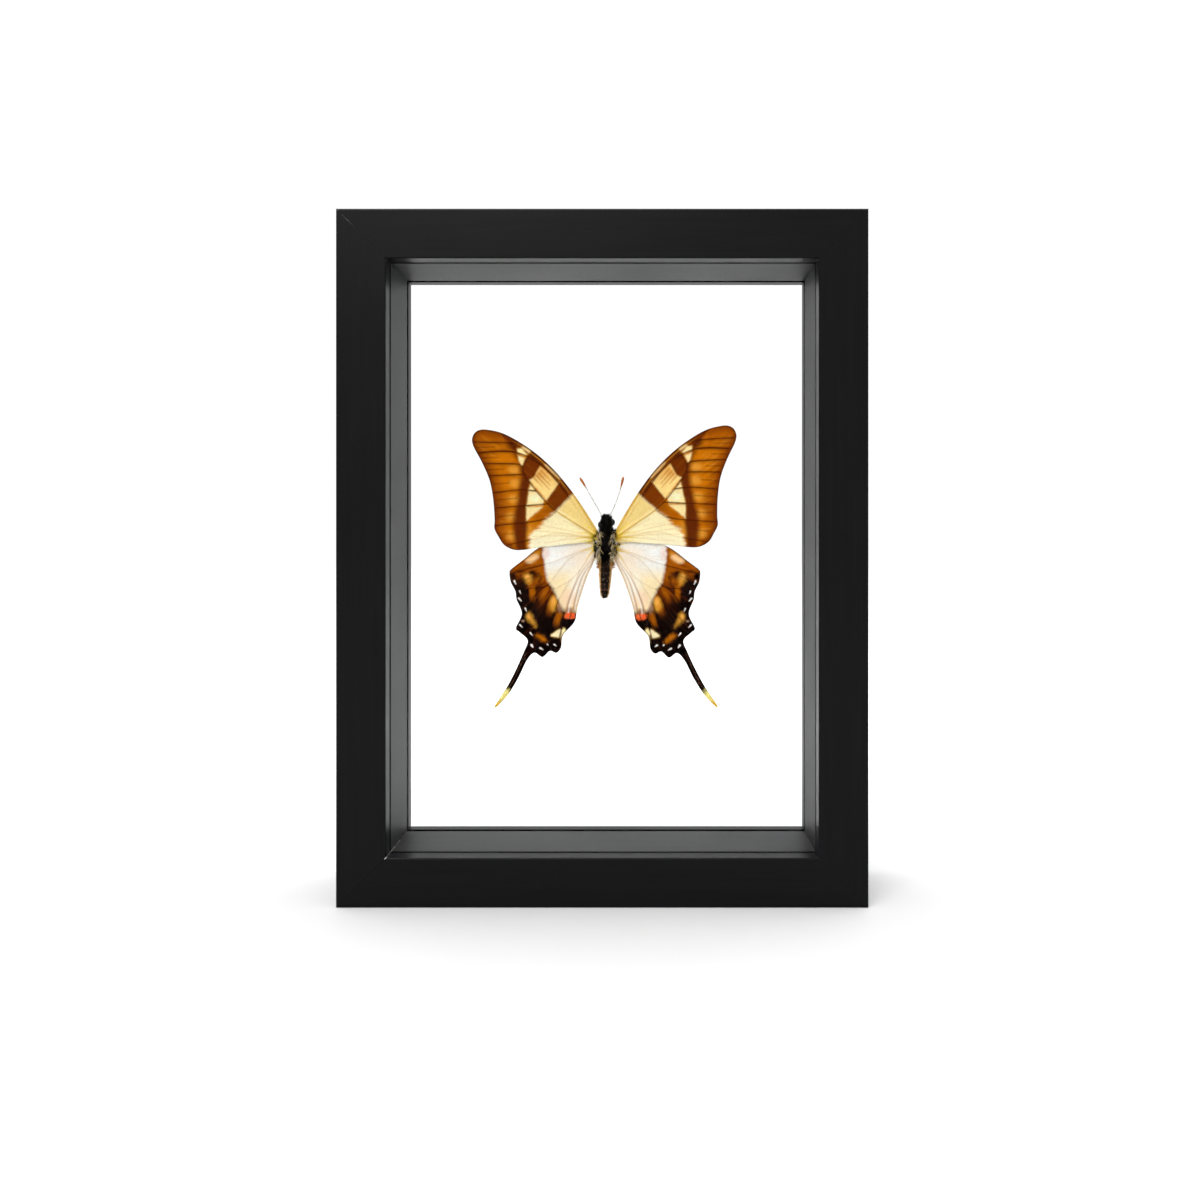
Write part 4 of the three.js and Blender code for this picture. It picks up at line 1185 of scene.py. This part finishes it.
def make_thorax(skin, fur):
    rng = np.random.default_rng(5)
    centre = BODY_ORIGIN + THORAX_CENTRE
    build = Build()
    build.add(*full_body(centre, THORAX_RADII, around=40, down=28, roughness=0.12, seed=21), INK)
    for side in (-1, 1):
        for route in LEG_ROUTES:
            line = spline([BODY_ORIGIN + (THORAX_CENTRE[0] + side * o, d, u) for o, d, u in route], 10)
            t = np.linspace(0.0, 1.0, len(line))
            radii = 0.34 - 0.22 * t + 0.06 * np.sin(t * 3 * math.pi) ** 2
            build.add(*tube(line, radii, sides=10), SOOT)
    build.piece("thorax_skin", skin, "body", ("thorax",))

    coat = Build()
    roots, way = scattered(rng, THORAX_HAIRS, centre, THORAX_RADII)
    front = way[:, 1] < 0.5
    roots, way = roots[front], way[front]
    flow = way * 0.7 + DOWN + rng.normal(scale=0.28, size=way.shape)
    flow[:, 2] += 1.7 * ease(0.45, 0.95, way[:, 2])
    coat_hairs(coat, rng, roots, flow, (0.5, 1.1), BODY_HAIR, INK)
    for side in (-1, 1):
        for offset, colour, number, length, thickness in THORAX_LOCKS:
            along = np.linspace(3.2, -3.2, number) + rng.normal(scale=0.5, size=number)
            out = offset + rng.normal(scale=0.25, size=number)
            lean = np.clip(out / 3.3, 0.0, 1.0)
            deep = np.clip(-THORAX_RADII[1] * (1.0 - lean ** 2.4) ** 0.42 - 0.15, -2.9, -2.35)
            starts = centre + np.column_stack([side * out, deep, along])
            sideways = side * rng.normal(0.0, 0.55, number)
            ways = np.column_stack([sideways, rng.normal(-0.1, 0.08, number), rng.normal(-1.0, 0.1, number)])
            clumps(coat, rng, starts, ways, length, colour, thickness)
    coat.piece("thorax_fur", fur, "body")


def abdomen_girth(t):
    """The abdomen's radius, from 0 at the thorax to 1 at the tip."""
    taper = 1.0 - ABDOMEN_TAPER * t ** ABDOMEN_TAPER_POWER
    blunt = np.sqrt(np.clip(1.0 - np.abs(2.0 * t - 1.0) ** ABDOMEN_BLUNTNESS, 0.0, 1.0))
    return ABDOMEN_RADIUS * (taper * blunt)


def make_abdomen(skin, fur):
    rng = np.random.default_rng(6)
    low, high = (np.array(corner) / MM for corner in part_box("abdomen"))
    length = high[2] - low[2]
    middle_y = 0.5 * (low[1] + high[1])
    lean = math.tan(math.radians(ABDOMEN_LEAN))
    top_x = BODY_X + THORAX_CENTRE[0]

    def on_abdomen(t, angle, share):
        """Places on the abdomen, at a share of its radius, with the way out at each."""
        way = np.column_stack([np.cos(angle), np.sin(angle), np.zeros(len(angle))])
        axis = np.column_stack([top_x - lean * t * length, np.full(len(t), middle_y), high[2] - t * length])
        return axis + way * abdomen_girth(t)[:, None] * share, way

    rings, sides = 84, 40
    t = np.linspace(0.002, 0.998, rings)
    crease = np.exp(-(((t * ABDOMEN_RINGS) % 1.0 - 0.5) / 0.12) ** 2)
    girth = abdomen_girth(t) * (1.0 - 0.1 * crease)
    angles = full_turn(sides)
    across, deep = np.cos(angles), np.sin(angles)
    points = np.stack([
        (top_x - lean * t * length)[:, None] + girth[:, None] * across,
        middle_y + girth[:, None] * deep,
        np.repeat((high[2] - t * length)[:, None], sides, axis=1),
    ], axis=2).reshape(-1, 3)
    cheek = ease(0.66, 0.84, np.abs(across)) * np.where(deep < 0.75, 0.95, 0.3)
    under = 0.8 * ease(0.2, 0.6, deep)
    share = np.maximum(cheek, under)[None, :] * (1.0 - 0.6 * t ** 6)[:, None]
    pink = crease * (0.12 + 0.6 * np.exp(-((t - 0.78) / 0.06) ** 2))
    ground = UMBER + (CREASE_PINK - UMBER) * pink[:, None, None]
    colours = (ground + (FLANK - ground) * share[:, :, None]).reshape(-1, 3)
    faces = [(a, d, c, b) for a, b, c, d in ring_faces(rings, sides)]
    faces.append(list(range(sides)))
    faces.append([(rings - 1) * sides + s for s in reversed(range(sides))])
    make_piece("abdomen_skin", points, faces, skin, ("abdomen",), colours)

    coat = Build()
    t = rng.uniform(0.005, 0.985, ABDOMEN_HAIRS)
    roots, way = on_abdomen(t, rng.uniform(0.0, 2 * math.pi, ABDOMEN_HAIRS), 0.96)
    colours = two_shades(rng, np.abs(way[:, 0]) > 0.72, FLANK_HAIR, INK)
    flow = 0.4 * way + DOWN + rng.normal(scale=0.14, size=way.shape)
    flow[:, 2] += 2.2 * ease(0.1, 0.0, t)
    hairs(coat, rng, roots, flow, rng.uniform(0.35, 0.8, ABDOMEN_HAIRS), FINE_HAIR, colours)
    for side in (-1, 1):
        start = np.array((top_x + side * 2.0, middle_y - 0.6, high[2] - 1.9))
        starts = start + rng.normal(scale=(0.25, 0.5, 0.6), size=(RUST_TUFT_HAIRS, 3))
        ways = np.array((side * 1.0, 0.0, -0.35)) + rng.normal(scale=0.35, size=(RUST_TUFT_HAIRS, 3))
        coat_hairs(coat, rng, starts, ways, (0.5, 1.4), LOCK_HAIR, RUST)
    angle = rng.uniform(0.0, 2 * math.pi, WAIST_HAIRS)
    across, deep = np.cos(angle), np.sin(angle)
    rise = high[2] + rng.uniform(-0.8, 0.7, WAIST_HAIRS)
    starts = np.column_stack([top_x + 1.65 * across, middle_y + 1.65 * deep, rise])
    ways = np.column_stack([0.35 * across, 0.35 * deep, np.full(WAIST_HAIRS, -1.0)])
    colours = two_shades(rng, np.abs(across) > 0.8, STRAW, INK)
    hairs(coat, rng, starts, ways, rng.uniform(0.9, 1.7, WAIST_HAIRS), LOCK_HAIR, colours)
    t = rng.uniform(0.05, 0.9, ASH_FLECKS)
    starts, way = on_abdomen(t, rng.uniform(-2.3, -0.85, ASH_FLECKS), 1.0)
    flow = 0.3 * way + DOWN + rng.normal(scale=0.3, size=way.shape)
    coat_hairs(coat, rng, starts, flow, (0.5, 1.1), FINE_HAIR, ASH)
    coat.piece("abdomen_fur", fur, "body")


def make_head(skin, fur, eye):
    rng = np.random.default_rng(7)
    centre = BODY_ORIGIN + HEAD_CENTRE
    build = Build()
    build.add(*full_body(centre, HEAD_RADII, around=36, down=24, roughness=0.1, seed=33), INK)
    for place in PALP_PLACES:
        build.add(*ellipsoid(BODY_ORIGIN + place, PALP_RADII, around=16, down=12), INK)
    turns = np.linspace(0.0, 2 * math.pi * TONGUE_TURNS, TONGUE_STEPS)
    wind = 0.95 - 0.05 * turns
    coil = np.column_stack([
        np.full(TONGUE_STEPS, centre[0]),
        centre[1] + 2.05 + wind * np.cos(turns),
        centre[2] + wind * np.sin(turns),
    ])
    build.add(*tube(coil, np.linspace(0.16, 0.08, TONGUE_STEPS), sides=8), TONGUE)
    build.piece("head_skin", skin, "body", ("head",))

    eyes = Build()
    for place in EYE_PLACES:
        eyes.add(*ellipsoid(BODY_ORIGIN + place, EYE_RADII, around=32, down=22), EYE)
    eyes.piece("eyes", eye, "body")

    coat = Build()
    roots, way = scattered(rng, HEAD_HAIRS, centre, HEAD_RADII)
    flow = way + np.array((0.0, 0.0, 0.5)) + rng.normal(scale=0.25, size=way.shape)
    flow[:, 2] -= 1.6 * ease(0.1, 0.8, -way[:, 2])
    lengths = rng.uniform(0.4, 1.2, HEAD_HAIRS) * np.where(np.abs(way[:, 0]) > 0.7, 0.4, 1.0)
    hairs(coat, rng, roots, flow, lengths, BODY_HAIR, shades(rng, INK, HEAD_HAIRS))
    angle = rng.uniform(0.0, 2 * math.pi, COLLAR_HAIRS)
    across, deep = np.cos(angle), np.sin(angle)
    rise = rng.uniform(4.6, 6.6, COLLAR_HAIRS)
    collar = BODY_ORIGIN + np.column_stack([0.45 + 1.9 * across, 7.6 + 1.6 * deep, rise])
    ways = np.column_stack([0.6 * across, 0.5 * deep, rng.normal(0.0, 0.8, COLLAR_HAIRS)])
    coat_hairs(coat, rng, collar, ways, (0.5, 1.0), LOCK_HAIR, INK)
    coat.piece("head_fur", fur, "body")


def make_antennae(skin):
    for side_name, route in ANTENNA_ROUTES.items():
        line = even_steps(spline([BODY_ORIGIN + p for p in route], 16), 0.12)
        t = np.linspace(0.0, 1.0, len(line))
        club = ease(0.70, 0.9, t) * (1.0 - ease(0.93, 1.0, t) * 0.75)
        rings = 0.012 * np.sin(np.arange(len(line)) * 1.9)
        points, faces = tube(line, 0.17 + 0.23 * club + rings, ANTENNA_SIDES)
        share = np.concatenate([np.repeat(t, ANTENNA_SIDES), [0.0, 1.0]])
        tint = ease(0.66, 0.8, share)[:, None]
        colours = HORN * (1 - tint) + CLUB * tint
        node = f"{side_name}_antenna"
        make_piece(f"{node}_horn", points, faces, skin, (node,), colours)


def make_root_hair(fur):
    """Locks where the wings join the body: lemon ones fanned over the wings, sooty ones at their edges."""
    rng = np.random.default_rng(8)
    coat = Build()
    for side in (-1, 1):
        for place, flow, count, colour, length, scatter, thickness in ROOT_TUFTS:
            base = BODY_ORIGIN + (ROOT_TUFT_X + side * place[0], place[1], place[2])
            roots = base + rng.normal(scale=(0.25, 0.06, 0.4), size=(count, 3))
            spread = rng.normal(scale=(scatter, 0.02, scatter * 1.6), size=(count, 3))
            ways = np.array((side * flow[0], -0.1 * flow[0], flow[1])) + spread
            clumps(coat, rng, roots, ways, length, colour, thickness)
    coat.piece("wing_root_hair", fur, "body")


def make_glue(material):
    """A low drop under the thorax, spread where it wets the glass."""
    low, high = (np.array(corner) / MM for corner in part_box("glue_dot"))
    centre = 0.5 * (low + high)
    depth = high[1] - low[1]
    reach = 0.5 * (high[0] - low[0])
    sides, rings = 48, 14
    angles = full_turn(sides)
    wobble = 1.0 + 0.06 * np.sin(3 * angles + 0.7) + 0.04 * np.sin(5 * angles)
    points = []
    for t in np.linspace(0.0, 1.0, rings):
        radius = reach * 0.94 * math.cos(t * math.pi / 2 * 0.92) * wobble
        rise = depth * math.sin(t * math.pi / 2) * 0.96
        ring = [centre[0] + radius * np.cos(angles), np.full(sides, high[1] - 0.01 - rise),
                centre[2] + radius * np.sin(angles)]
        points.append(np.column_stack(ring))
    faces = ring_faces(rings, sides)
    faces.append(list(reversed(range(sides))))
    faces.append([(rings - 1) * sides + s for s in range(sides)])
    make_piece("glue_drop", np.vstack(points), faces, material, ("glue_dot",))


def make_body():
    skin = pigment_material("body_skin", rough=0.55, grain_scale=1600.0, grain_depth=0.3, specular=0.06)
    fur = pigment_material("body_fur", rough=0.7, grain_scale=1200.0, grain_depth=0.15, specular=0.06)
    eye = pigment_material("eye_facets", rough=0.25, grain_scale=5200.0, grain_depth=0.25, specular=0.3)
    horn = pigment_material("antenna_horn", rough=0.45, grain_scale=2400.0, grain_depth=0.15, specular=0.4)
    make_thorax(skin, fur)
    make_abdomen(skin, fur)
    make_head(skin, fur, eye)
    make_antennae(horn)
    make_root_hair(fur)
    make_glue(glue_material())


# Frame and glass: the solids keep their shapes and take their finishes here

# Finishes: tone, roughness, specular level, and how strongly the grain shows
LACQUER = (srgb(9, 9, 10), 0.32, 0.07, 0.2)
LINER = (srgb(24, 24, 27), 0.55, 0.54, 0.45)
LONG_AXIS = {"bottom": 0, "top": 0, "left": 2, "right": 2}
STRIP_BEVEL = 0.18


def coat_solid(name, material):
    """The frame's solid of that name, with this finish alone."""
    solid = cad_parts[name]
    solid.data.materials.clear()
    solid.data.materials.append(material)
    return solid


def finish_frame():
    finishes = {}
    for axis, way in ((0, "across"), (2, "upright")):
        lacquer = lacquer_material(f"black_lacquer_{way}", axis, *LACQUER)
        liner = lacquer_material(f"black_liner_{way}", axis, *LINER)
        finishes[axis] = {"frame": lacquer, "spacer": liner, "rear_bead": lacquer}
    for side, axis in LONG_AXIS.items():
        for kind, material in finishes[axis].items():
            strip = coat_solid(f"{kind}_{side}", material)
            if kind != "frame":
                bevel = strip.modifiers.new("eased_edges", "BEVEL")
                bevel.width = STRIP_BEVEL * MM
                bevel.segments = 2
    glass = glass_material()
    for name in ("front_glass", "back_glass"):
        coat_solid(name, glass)


# Stage, light and camera, in metres and watts

FLOOR_HALF = 3.0
# The floor's colour rises from just in front of the frame to behind it: painted light over the frame's
# shadow from the fill
FLOOR_LIFT_SPAN = (-0.02, 0.14)
FLOOR_LIFTED_TONES = (0.34, 0.52)
WORLD_DEPTHS = (-0.8, 0.25)
WORLD_LEVELS = (0.8, 1.06)
OVERHEAD_HEIGHTS = (0.47, 0.9)
OVERHEAD_LEVELS = (0.0, 2.4)
# Each light's name, place, target, width, height and power
LIGHTS = [
    ("key", (0.0, 0.12, 1.3), (0.0, 0.0, 0.0), 1.4, 0.3, 12.0),
    ("fill", (-0.35, -0.97, 1.1), (0.0, 0.0, 0.1), 0.9, 0.9, 25.0),
]


def make_stage():
    """A pale floor, a little darker in front of the frame and paler behind it, where painted light covers
    the shadow that the frame casts from the fill.
    """
    def describe(n):
        _, y, _ = n.axes()
        shade = n.spread(y, FLOOR_LIFT_SPAN, FLOOR_LIFTED_TONES, interpolation_type="SMOOTHSTEP")
        return {"Base Color": shade, "Roughness": 0.9, "Specular IOR Level": 0.1}

    mesh = bpy.data.meshes.new("floor")
    corners = [(x * FLOOR_HALF, y * FLOOR_HALF, 0.0) for x, y in ((-1, -1), (1, -1), (1, 1), (-1, 1))]
    mesh.from_pydata(corners, [], [(0, 1, 2, 3)])
    mesh.materials.append(new_material("pale_floor", describe))
    floor = bpy.data.objects.new("floor", mesh)
    bpy.context.scene.collection.objects.link(floor)


def make_lights():
    for name, place, target, width, height, power in LIGHTS:
        data = bpy.data.lights.new(name, "AREA")
        data.shape = "RECTANGLE"
        data.size = width
        data.size_y = height
        data.energy = power
        light = bpy.data.objects.new(name, data)
        light.location = place
        light.rotation_euler = (Vector(target) - Vector(place)).to_track_quat("-Z", "Y").to_euler()
        bpy.context.scene.collection.objects.link(light)


def make_world():
    """A white studio: even behind the frame, dimmer in front of it and brightest overhead."""
    world = bpy.data.worlds.new("studio")
    bpy.context.scene.world = world
    n = Nodes(world)
    _, y, z = n.axes("Generated")
    around = n.spread(y, WORLD_DEPTHS, WORLD_LEVELS, interpolation_type="SMOOTHSTEP")
    overhead = n.spread(z, OVERHEAD_HEIGHTS, OVERHEAD_LEVELS, interpolation_type="SMOOTHSTEP")
    strength = n.calc("ADD", around, overhead)
    n.feed(n.tree.nodes["Background"], {"Color": (1.0, 1.0, 1.0, 1.0), "Strength": strength})


def make_camera():
    data = bpy.data.cameras.new("camera")
    data.sensor_width = SENSOR_WIDTH
    data.lens = SENSOR_WIDTH * CAMERA_DISTANCE / (PICTURE_WIDTH_PX * MM_PER_PX)
    data.shift_x = (PICTURE_WIDTH_PX / 2 - AXIS_PX[0]) / PICTURE_WIDTH_PX
    data.shift_y = (AXIS_PX[1] - PICTURE_WIDTH_PX / 2) / PICTURE_WIDTH_PX
    data.clip_start = CLIP_START
    camera = bpy.data.objects.new("camera", data)
    front = CAD_BOX[0][1]
    camera.location = (CAMERA_X * MM, front - CAMERA_DISTANCE * MM, CAMERA_Z * MM)
    camera.rotation_euler = (math.pi / 2, 0.0, 0.0)
    bpy.context.scene.collection.objects.link(camera)
    bpy.context.scene.camera = camera


make_camera()
make_stage()
make_world()
make_lights()
finish_frame()
make_wings()
make_body()
bpy.context.scene.view_settings.view_transform = "Standard"
